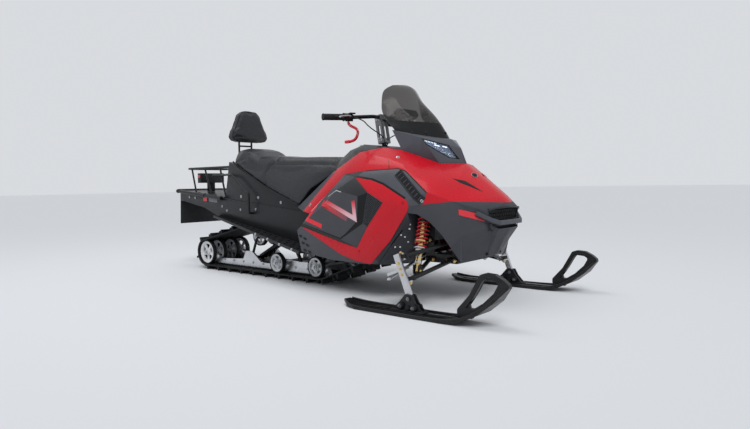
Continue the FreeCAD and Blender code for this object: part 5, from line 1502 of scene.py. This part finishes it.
class SNOWMOBILE_OT_boards(bpy.types.Operator):
    """Lays the running boards' grip rings and bolts and the foot guards' slots, with dark discs
    of painted shade in the holes.
    """

    bl_idname = "snowmobile.boards"
    bl_label = "Running boards"
    # Slots of a foot guard. Columns: x, z.
    SLOTS = ((106, 319), (139, 306), (123, 280), (158, 269), (136, 238), (172, 231))
    SLOT_RUN = at(1, 0, -0.42)
    SLOT_RADIUS = 0.0064
    # Bolts in the outer edge of a board. Columns: x, z.
    EDGE_BOLTS = ((-390, 304), (-250, 280), (-120, 256), (10, 234))
    # Rows of grip rings: the row's distance from the middle, and where it starts.
    ROWS = ((232, -868), (272, -607), (312, -346), (350, 31))
    ROW_END = 400
    ROW_STEP = 58
    RING_RADIUS = 0.011

    def execute(self, context):
        board = nodes["running_boards"]
        spots = []
        for side in SIDES:
            for y, first in self.ROWS:
                spots += [(*from_above(board, x, side * y), FORWARD)
                          for x in range(first, self.ROW_END, self.ROW_STEP)]
        stud = ring("stud", at(0, 0, 1.2), UPWARD, self.RING_RADIUS, 0.003, 0.0025, 14)
        dress(copies("board_rings", stud, spots), "black tube")
        # Painted shade: a dark disc in each ring stands for the hole's dark inside.
        dress(copies("board_hole_shade", self.dot(self.RING_RADIUS - 0.0022), spots), "gloss black")
        bolts = both_sides(board, self.EDGE_BOLTS, FORWARD)
        dress(copies("board_bolts", hex_bolt(0.0065), bolts), "bright bolt")
        slots = both_sides(SKINS["foot_guards"], self.SLOTS, self.SLOT_RUN)
        rim = ring("slot", at(0, 0, 0.8), UPWARD, self.SLOT_RADIUS + 0.0011, 0.0022, 0.0016, 14)
        rim.data.transform(Matrix.Diagonal((1.9, 0.9, 1, 1)))
        dress(copies("guard_rims", rim, slots), "dark plastic")
        # Painted shade: a dark oval in each rim stands for the slot's dark inside.
        slot_shade = self.dot(self.SLOT_RADIUS)
        slot_shade.data.transform(Matrix.Diagonal((1.95, 0.9, 1, 1)))
        dress(copies("guard_slot_shade", slot_shade, slots), "gloss black")
        return {"FINISHED"}

    def dot(self, radius):
        """A flat dark disc of painted shade that stands for the dark inside of a hole. It stands
        on Z = 0.
        """
        return bar("dot", (0, 0, -0.0002), (0, 0, 0.0006), radius, 14, 0.0001)


class SNOWMOBILE_OT_suspension(bpy.types.Operator):
    """Winds the coil springs and adds the bolts, collars and boots beside them."""

    bl_idname = "snowmobile.suspension"
    bl_label = "Front suspension"
    SHOCK_LOW = at(927, -372, 200)
    SHOCK_TOP = at(905, -268, 470)
    KING_TOP = at(905, -465, 262)
    KING_LOW = at(945, -465, 160)
    # Pivots of the arms on the frame. Columns: x, z.
    PIVOTS = ((1024, 322), (866, 322), (1012, 224), (884, 224))
    PIVOT_Y = -202
    # The coil: where it starts along the shock, its length, radii and turns.
    COIL_START = 0.104
    COIL_LENGTH = 0.154
    COIL_RADIUS = 0.0285
    COIL_WIRE = 0.0037
    COIL_TURNS = 7.5
    TURN_POINTS = 24
    # Collars of the shock. Columns: how far along it, radius, width.
    COLLARS = ((0.098, 0.034, 0.006), (0.088, 0.026, 0.009), (0.074, 0.0175, 0.004),
               (0.055, 0.0175, 0.004), (0.03, 0.0185, 0.012))
    # Bolts of the spindle, as shares of the way up the kingpin.
    SPINDLE_BOLTS = (0.24, 0.5, 0.76)
    SPINDLE_OUT = at(0, -44.6, 0)

    def execute(self, context):
        self.build_shock()
        self.build_kingpin()
        pivots = [(at(x + end * 18, self.PIVOT_Y, z), FORWARD * end, UPWARD)
                  for x, z in self.PIVOTS for end in ENDS]
        pair(copies("pivot_bolts", hex_bolt(0.009), pivots), "zinc gold")
        return {"FINISHED"}

    def build_shock(self):
        """The clevis, bolts, coil, collars and caps of a shock."""
        low = self.SHOCK_LOW
        length = (self.SHOCK_TOP - low).length
        line = (self.SHOCK_TOP - low).normalized()
        eye = low + at(0, 0, -20)
        clevis = [block("cheek", eye + at(x, 0, 14), at(5, 30, 46), 0.002)
                  for x in (-16, 16)]
        pair(weld("shock_clevis", *clevis), "black tube")
        ends = [(eye + at(end * 19, 0, 4), FORWARD * end, UPWARD) for end in ENDS]
        ends += [(self.SHOCK_TOP + at(end * 18, 0, 0), FORWARD * end, UPWARD) for end in ENDS]
        pair(copies("shock_bolts", hex_bolt(0.0085), ends), "zinc gold")
        across = FORWARD.cross(line).normalized()
        other = line.cross(across)
        count = int(self.COIL_TURNS * self.TURN_POINTS)
        turns = []
        for n in range(count + 1):
            angle = n * math.tau / self.TURN_POINTS
            turns.append(low + line * (self.COIL_START + self.COIL_LENGTH * n / count)
                         + (across * math.cos(angle) + other * math.sin(angle))
                         * self.COIL_RADIUS)
        coils = pair(pipe("coil_spring", turns, self.COIL_WIRE, 2, 3), "spring red",
                     slot="spring_red", degrees=60)
        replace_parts(coils[0], "springs")
        collars = [ring("collar", low + line * far, line, radius, width, 0.004, 32)
                   for far, radius, width in self.COLLARS]
        pair(weld("shock_collars", *collars), "bright bolt")
        cap = ring("cap", low + line * (length - 0.029), line, 0.0345, 0.009, 0.005, 32)
        stop = bar("stop", low + line * (length - 0.06), low + line * (length - 0.034), 0.019,
                   24, 0.004, 0.022)
        pair(weld("spring_caps", cap, stop), "black plastic")

    def build_kingpin(self):
        """The nuts and boots of the kingpin's joints and the spindle's bolts."""
        top = self.KING_TOP
        low = self.KING_LOW
        king = (top - low).normalized()
        nuts = [(top + king * 0.0172, king, FORWARD), (low - king * 0.0172, -king, FORWARD)]
        pair(copies("kingpin_nuts", hex_bolt(0.0095), nuts), "zinc gold", "right_steer",
             "left_steer")
        boots = [ring("boot", joint + king * shift, king, 0.0172, 0.0035, 0.004, 28)
                 for joint in (top, low) for shift in (-0.006, 0, 0.006)]
        pair(weld("joint_boots", *boots), "soft rubber")
        bolts = [(low.lerp(top, share) + self.SPINDLE_OUT, -LEFTWARD, king)
                 for share in self.SPINDLE_BOLTS]
        pair(copies("spindle_bolts", hex_bolt(0.006), bolts), "zinc gold", "right_steer",
             "left_steer")


class SNOWMOBILE_OT_skis(bpy.types.Operator):
    """Adds the skis' rolled rims, ribs, saddle blocks and loop struts."""

    bl_idname = "snowmobile.skis"
    bl_label = "Skis"
    # Sole of a ski. Columns: x, half width, height of the upper face.
    SOLE = ((585, 28, 29), (619, 52, 18), (683, 70, 10), (880, 70, 10), (1178, 70, 10),
            (1270, 70, 22), (1362, 64, 65), (1435, 49, 122), (1478, 22, 168))
    SKI_Y = -500
    BOLT = at(978, -500, 76)
    # Blocks of the saddle, as bars across the ski. Columns: x, z, radius, half length.
    DAMPERS = ((936, 42, 17, 33), (1012, 36, 16, 33), (976, 32, 13, 30))
    # Upper edge of the ski's loop. Columns: x, z.
    LOOP = ((1284, 74), (1324, 126), (1366, 204), (1392, 214), (1424, 213), (1450, 203))
    LOOP_OFF = 14

    def execute(self, context):
        middle = self.SKI_Y
        rims = [pipe("rim", [at(x, middle + side * (half - 3.5), z + 3)
                             for x, half, z in self.SOLE], 0.0055, 8, 3) for side in SIDES]
        steered = {"body": "right_steer", "left_body": "left_steer"}
        pair(weld("ski_rims", *rims), "ski plastic", degrees=50, **steered)
        ribs = []
        for y in (middle - 34, middle + 34):
            ribs.append(block("rib", at(955, y, 12), at(560, 7, 8), 0.0025))
            ribs.append(block("rib", at(1226, y, 19), at(90, 7, 8), 0.0025,
                              up=at(-130, 0, 1000), along=at(1000, 0, 130)))
        ribs.append(block("tail_ridge", at(740, middle, 13), at(210, 22, 9), 0.004))
        ribs.append(block("nose_ridge", at(1150, middle, 14), at(170, 26, 10), 0.004))
        pair(weld("ski_ribs", *ribs), "ski plastic", **steered)
        blocks = [bar("damper", at(x, middle - half, z), at(x, middle + half, z),
                      radius / 1000, 24, 0.004) for x, z, radius, half in self.DAMPERS]
        blocks.append(block("saddle_foot", at(968, middle, 16), at(190, 56, 16), 0.005))
        pair(weld("saddle_blocks", *blocks), "soft rubber", **steered)
        nuts = [(self.BOLT + at(0, side * 22, 0), LEFTWARD * side, UPWARD) for side in SIDES]
        nuts += [(at(x, middle + side * 33, z), LEFTWARD * side, UPWARD)
                 for x, z, radius, half in self.DAMPERS[:2] for side in SIDES]
        pair(copies("ski_bolts", hex_bolt(0.0075), nuts), "riser plate", **steered)
        strut = block("strut", at(1300, middle, 58), at(14, 22, 66), 0.004,
                      up=at(-300, 0, 1000), along=at(1000, 0, 300))
        foot = block("strut_foot", at(1282, middle, 36), at(54, 24, 14), 0.004,
                     up=at(-350, 0, 1000), along=at(1000, 0, 350))
        pair(weld("loop_strut", strut, foot), "ski plastic", **steered)
        edges = [pipe("loop_rim", [at(x, middle + side * self.LOOP_OFF, z)
                                   for x, z in self.LOOP], 0.003, 8, 2) for side in SIDES]
        pair(weld("loop_rims", *edges), "ski plastic", degrees=50, **steered)
        return {"FINISHED"}


class SNOWMOBILE_OT_drive(bpy.types.Operator):
    """Adds the wheels' tyres and axle bolts, and the rails' runners and bolts."""

    bl_idname = "snowmobile.drive"
    bl_label = "Track drive"
    # Wheel rows. Columns: x, z, radius, y of the wheels on one side, y of the axle's bolt.
    WHEELS = ((-1164, 125, 89, (150, 58), 170), (-376, 103, 67, (150,), 170),
              (-10, 103, 67, (150,), 170), (-660, 262, 70, (58,), 104))
    RAIL_Y = 108
    RAIL_BOLT_Y = 115

    def execute(self, context):
        tyres = [ring("tyre", at(x, side * y, z), LEFTWARD, (radius + 0.2) / 1000, 0.0292,
                      0.0095, 48)
                 for x, z, radius, places, outer in self.WHEELS for y in places
                 for side in SIDES]
        dress(weld("wheel_tyres", *tyres), "rubber")
        hubs = [(at(x, side * outer, z), LEFTWARD * side, UPWARD)
                for x, z, radius, places, outer in self.WHEELS for side in SIDES]
        dress(copies("axle_bolts", hex_bolt(0.012), hubs), "bright bolt")
        runners = [block("runner", at(-585, side * self.RAIL_Y, 42), at(1150, 20, 12), 0.003)
                   for side in SIDES]
        dress(weld("rail_runners", *runners), "gloss black")
        bolts = [(at(x, side * self.RAIL_BOLT_Y, 78), LEFTWARD * side, UPWARD)
                 for side in SIDES for x in range(-1120, -20, 110)]
        dress(copies("rail_bolts", hex_bolt(0.007), bolts), "bright bolt")
        return {"FINISHED"}


class SNOWMOBILE_OT_controls(bpy.types.Operator):
    """Adds the grips' ribs, switches, levers, brake hoses, gauge housing and knobs."""

    bl_idname = "snowmobile.controls"
    bl_label = "Controls"
    BAR_END = at(299, -372, 985)
    BAR_BEND = at(372, -200, 990)
    # Ribs of a grip, spaced along the bar.
    RIBS = 17
    RIB_STEP = 0.0062
    # How far the control's middle is from the grip's start, in metres.
    BOX_ON = 0.15
    # The brake lever, from the control's middle, in millimetres.
    LEVER = ((26, 6, 4), (33, -20, 3), (31, -52, 0), (30, -86, -4), (38, -104, -8))
    # The steering post, and the riser's bolts up along it.
    POST_FOOT = at(430, 0, 812)
    POST_TOP = at(395, 0, 1016)
    BOLTS_UP = (52, 66, 176, 196)
    BOLTS_Y = 0.0302
    # Knobs on the console. Columns: x, y, radius, height.
    KNOBS = ((285, -70, 13, 16), (285, 70, 13, 16), (250, 0, 17, 10))
    KEY = (330, -95)
    # Diameter of the brake hose, its first two places from the control's middle, and the rest.
    HOSE = 0.0064
    HOSE_START = ((24, 20, 0), (60, 60, -14))
    HOSE_ROUTE = ((430, -150, 940), (452, -96, 905), (446, -40, 888), (440, -19, 868),
                  (434, -18, 838))

    def execute(self, context):
        along = (self.BAR_BEND - self.BAR_END).normalized()
        start = self.BAR_END - along * 0.003
        box = start + along * self.BOX_ON
        self.build_grips(start, along)
        self.build_switches(box, along)
        self.build_hoses(box)
        self.build_post()
        self.build_dash()
        self.build_console()
        return {"FINISHED"}

    def build_grips(self, start, along):
        """The ribs, flange and end of each grip."""
        ribs = [ring("rib", start + along * (0.012 + self.RIB_STEP * i), along, 0.0182, 0.0036,
                     0.0022, 28) for i in range(self.RIBS)]
        ribs.append(ring("flange", start + along * 0.124, along, 0.0235, 0.004, 0.008, 32))
        ribs.append(bar("end", start - along * 0.002, start + along * 0.006, 0.0195, 28,
                        0.003))
        pair(weld("grip_ribs", *ribs), "soft rubber", "steering")

    def build_switches(self, box, along):
        """The switches, stop button, brake lever and the fluid's lid."""
        back = Vector((-1, 0, 0.1)).normalized()
        across = along.cross(back).normalized()
        switches = [block("switch", box + (across * 0.003 + along * 0.009) * end
                          + back * 0.0205, at(10, 7, 5), 0.001, up=back, along=along)
                    for end in ENDS]
        pair(weld("switches", *switches), "white plastic", "steering")
        button = bar("stop_button", box + back * 0.018 + UPWARD * 0.014,
                     box + back * 0.026 + UPWARD * 0.014, 0.006, 20, 0.0015)
        dress(button, "cord red", "steering")
        blade = pipe("lever", [box + at(*row) for row in self.LEVER], 0.0045, 8, 3)
        pair(blade, "silver", "steering", degrees=50)
        lid = block("fluid_lid", box + at(20, 14, 20), at(34, 26, 8), 0.002, along=along)
        dress(lid, "gloss black", "steering")

    def build_hoses(self, box):
        """A brake hose a side, from the control to the foot of the post."""
        route = [box + at(*row) for row in self.HOSE_START]
        route += [at(*row) for row in self.HOSE_ROUTE]
        hoses = pair(pipe("brake_hose", route, self.HOSE / 2, 10, 3), "black plastic",
                     "steering", degrees=60)
        for hose, turn in zip(hoses, (Vector((1, 1, 1)), Vector((1, -1, 1)))):
            path = [place * turn for place in read_line(route, 10)]

    def build_post(self):
        """The riser's bolts and the rubber boot of the steering post."""
        foot = self.POST_FOOT
        axis = (self.POST_TOP - foot).normalized()
        fore = LEFTWARD.cross(axis).normalized()
        spots = [(foot + axis * up_by / 1000 + fore * shift / 1000
                  + LEFTWARD * side * self.BOLTS_Y, LEFTWARD * side, UPWARD)
                 for up_by in self.BOLTS_UP for side in SIDES for shift in (-8, 8)]
        dress(copies("riser_bolts", hex_bolt(0.0048), spots), "bright bolt", "steering")
        boot = [ring("boot", foot + axis * (0.004 + 0.006 * n), axis, 0.021 - 0.0012 * n, 0.007,
                     0.006 - 0.0008 * n, 32) for n in range(4)]
        dress(weld("post_boot", *boot), "soft rubber", "steering")

    def build_dash(self):
        """The housing of the gauges, its glass and its stalk."""
        lean = {"up": at(-600, 0, 800), "along": at(800, 0, 600)}
        dress(block("dash", at(560, 0, 982), at(120, 176, 44), 0.012, 3, **lean),
              "black plastic")
        dress(block("dash_glass", at(544, 0, 1002), at(84, 132, 4), 0.0015, **lean),
              "gloss black")
        dress(block("dash_stalk", at(590, 0, 890), at(34, 90, 178), 0.006,
                    up=at(-180, 0, 1000)), "black plastic")

    def build_console(self):
        """The console's knobs with their bezels, and the key in its lock."""
        top = SKINS["console"]
        parts = []
        for x, y, radius, tall in self.KNOBS:
            place, up = from_above(top, x, y)
            parts.append(bar("knob", place, place + up * tall / 1000, radius / 1000, 24, 0.003,
                             radius / 1180))
            parts.append(ring("bezel", place + up * 0.001, up, (radius + 5) / 1000, 0.004,
                              0.004, 32))
        dress(weld("console_knobs", *parts), "gloss black")
        place, up = from_above(top, *self.KEY)
        key = [ring("lock", place + up * 0.001, up, 0.013, 0.005, 0.005, 28),
               block("key", place + up * 0.014, at(16, 3, 24), 0.001, up=up)]
        dress(weld("ignition_key", *key), "bright bolt")


class SNOWMOBILE_OT_tether(bpy.types.Operator):
    """Winds the curly safety tether along its route, from the switch to its clip."""

    bl_idname = "snowmobile.tether"
    bl_label = "Safety tether"
    # The route of the part's own tether, from the control to the clip.
    ROUTE = ((355.4, -232.5, 970.2), (346.4, -228.0, 946.6), (404, -203, 922),
             (396, -202, 883), (368, -199, 858), (334, -198, 856))
    TURN_POINTS = 14
    # The helix's pitch as a share of the cord's diameter, and how its ends grow from the line.
    PITCH = 1.35
    GROW_OVER = 0.012
    GROW_FROM = 0.25

    def execute(self, context):
        sizes = context.scene.snowmobile_sizes
        line = read_line([at(*row) for row in self.ROUTE], 40)
        radius = sizes.coil - sizes.cord / 2
        step = sizes.cord * self.PITCH / self.TURN_POINTS
        length = run_length(line)
        spots = []
        side = UPWARD
        index = 0
        passed = 0.0
        for n in range(int(length / step) + 1):
            far = n * step
            while index < len(line) - 2 and passed + (line[index + 1] - line[index]).length < far:
                passed += (line[index + 1] - line[index]).length
                index += 1
            run = (line[index + 1] - line[index]).normalized()
            middle = line[index] + run * (far - passed)
            side = (side - run * side.dot(run)).normalized()
            angle = math.tau * n / self.TURN_POINTS
            grow = min(1.0, min(far, length - far) / self.GROW_OVER + self.GROW_FROM)
            spots.append(middle + (side * math.cos(angle)
                                   + run.cross(side) * math.sin(angle)) * radius * grow)
        cord = pipe("tether", spots, sizes.cord / 2, 2, 3)
        dress(cord, "cord red", "steering", 60)
        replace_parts(cord, "tether_cord")
        path = read_line(spots, 2)
        cap = block("tether_switch", at(356.6, -233, 973), at(20, 20, 9), 0.003,
                    up=at(-9, 4.5, -23.6), along=LEFTWARD)
        dress(cap, "cord red", "steering")
        return {"FINISHED"}


class SNOWMOBILE_OT_stage(bpy.types.Operator):
    """Sets the floor, the soft light and the camera at the photograph's place."""

    bl_idname = "snowmobile.stage"
    bl_label = "Stage"
    SKY_LIGHT = 0.42
    SUN = 1.8
    SUN_ANGLE = math.radians(28)
    SUN_PLACE = Vector((2.6, -2.9, 4.2))
    SOFTBOX = 32
    SOFTBOX_PLACE = (-0.4, -0.6, 3.6)
    SOFTBOX_SIZE = (3.4, 1.6)
    CAMERA_PLACE = Vector((2.612, -2.675, 0.614))
    YAW = math.radians(40.28)
    PITCH = math.radians(-3.01)
    ROLL = math.radians(-0.89)

    def execute(self, context):
        deselect()
        bpy.ops.mesh.primitive_plane_add(size=120, location=(0, 0, -0.0005))
        floor = added("floor")
        tree, shader = new_finish("pale floor")
        shader.inputs["Base Color"].default_value = colour("floor")
        shader.inputs["Roughness"].default_value = 0.85
        floor.data.materials.append(FINISHES["pale floor"])
        self.light_sky(context)
        deselect()
        bpy.ops.object.light_add(type="SUN")
        sun = added("soft sun")
        sun.data.energy = self.SUN
        sun.data.angle = self.SUN_ANGLE
        sun.rotation_mode = "QUATERNION"
        sun.rotation_quaternion = self.SUN_PLACE.to_track_quat("Z", "Y")
        sun.visible_glossy = False
        deselect()
        bpy.ops.object.light_add(type="AREA", location=self.SOFTBOX_PLACE)
        softbox = added("softbox")
        softbox.data.shape = "RECTANGLE"
        softbox.data.size, softbox.data.size_y = self.SOFTBOX_SIZE
        softbox.data.energy = self.SOFTBOX
        self.set_camera(context)
        context.scene.view_settings.view_transform = "Standard"
        return {"FINISHED"}

    def light_sky(self, context):
        """An even sky, a little paler where the camera, metal and glass see it."""
        sky = bpy.data.worlds.new("studio")
        context.scene.world = sky
        sky.use_nodes = True
        tree = sky.node_tree
        tree.nodes.clear()
        light = add(tree, "ShaderNodeBackground", Strength=self.SKY_LIGHT)
        light.inputs["Color"].default_value = (0.95, 0.97, 1.0, 1)
        seen_sky = add(tree, "ShaderNodeBackground", Strength=1.0)
        seen_sky.inputs["Color"].default_value = shade(colour("floor"), 0.93)
        path = add(tree, "ShaderNodeLightPath")
        either = add(tree, "ShaderNodeMath", operation="MAXIMUM")
        any_of = add(tree, "ShaderNodeMath", operation="MAXIMUM")
        wire(tree, path, "Is Camera Ray", either, 0)
        wire(tree, path, "Is Glossy Ray", either, 1)
        wire(tree, either, "Value", any_of, 0)
        wire(tree, path, "Is Transmission Ray", any_of, 1)
        mix = add(tree, "ShaderNodeMixShader")
        out = add(tree, "ShaderNodeOutputWorld")
        wire(tree, any_of, "Value", mix, "Fac")
        wire(tree, light, "Background", mix, 1)
        wire(tree, seen_sky, "Background", mix, 2)
        wire(tree, mix, "Shader", out, "Surface")

    def set_camera(self, context):
        """The camera where the photograph was taken from, turned and tilted alike."""
        ahead = Vector((-math.sin(self.YAW) * math.cos(self.PITCH),
                        math.cos(self.YAW) * math.cos(self.PITCH), math.sin(self.PITCH)))
        side = Vector((math.cos(self.YAW), math.sin(self.YAW), 0))
        rise = side.cross(ahead)
        across = side * math.cos(self.ROLL) + rise * math.sin(self.ROLL)
        up = rise * math.cos(self.ROLL) - side * math.sin(self.ROLL)
        data = bpy.data.cameras.new("camera")
        data.sensor_width = 36
        data.lens = context.scene.snowmobile_sizes.lens
        camera = bpy.data.objects.new("camera", data)
        context.scene.collection.objects.link(camera)
        place = Matrix((across, up, -ahead)).transposed().to_4x4()
        place.translation = self.CAMERA_PLACE
        camera.matrix_world = place
        context.scene.camera = camera


STEPS = (
    SNOWMOBILE_OT_stage, SNOWMOBILE_OT_finishes, SNOWMOBILE_OT_bodywork,
    SNOWMOBILE_OT_tether, SNOWMOBILE_OT_graphics, SNOWMOBILE_OT_vents,
    SNOWMOBILE_OT_windshield, SNOWMOBILE_OT_headlamps, SNOWMOBILE_OT_nose,
    SNOWMOBILE_OT_fasteners, SNOWMOBILE_OT_seat, SNOWMOBILE_OT_backrest, SNOWMOBILE_OT_rear,
    SNOWMOBILE_OT_boards, SNOWMOBILE_OT_suspension, SNOWMOBILE_OT_skis, SNOWMOBILE_OT_drive,
    SNOWMOBILE_OT_controls,
)


class SNOWMOBILE_PT_panel(bpy.types.Panel):
    """Lists the makers of the snowmobile's pieces."""

    bl_label = "Snowmobile"
    bl_space_type = "VIEW_3D"
    bl_region_type = "UI"
    bl_category = "Snowmobile"

    def draw(self, context):
        for group in (context.scene.snowmobile_colours, context.scene.snowmobile_sizes):
            for name in group.bl_rna.properties.keys():
                if name not in ("rna_type", "name"):
                    self.layout.prop(group, name)
        for step in STEPS:
            self.layout.operator(step.bl_idname)


CLASSES = (SnowmobileColours, SnowmobileSizes, *STEPS, SNOWMOBILE_PT_panel)


def register():
    for cls in CLASSES:
        bpy.utils.register_class(cls)
    bpy.types.Scene.snowmobile_colours = bpy.props.PointerProperty(type=SnowmobileColours)
    bpy.types.Scene.snowmobile_sizes = bpy.props.PointerProperty(type=SnowmobileSizes)


def unregister():
    del bpy.types.Scene.snowmobile_sizes
    del bpy.types.Scene.snowmobile_colours
    for cls in reversed(CLASSES):
        bpy.utils.unregister_class(cls)


def main():
    register()
    for step in STEPS:
        group, name = step.bl_idname.split(".")
        getattr(getattr(bpy.ops, group), name)()


if __name__ == "__main__":
    main()
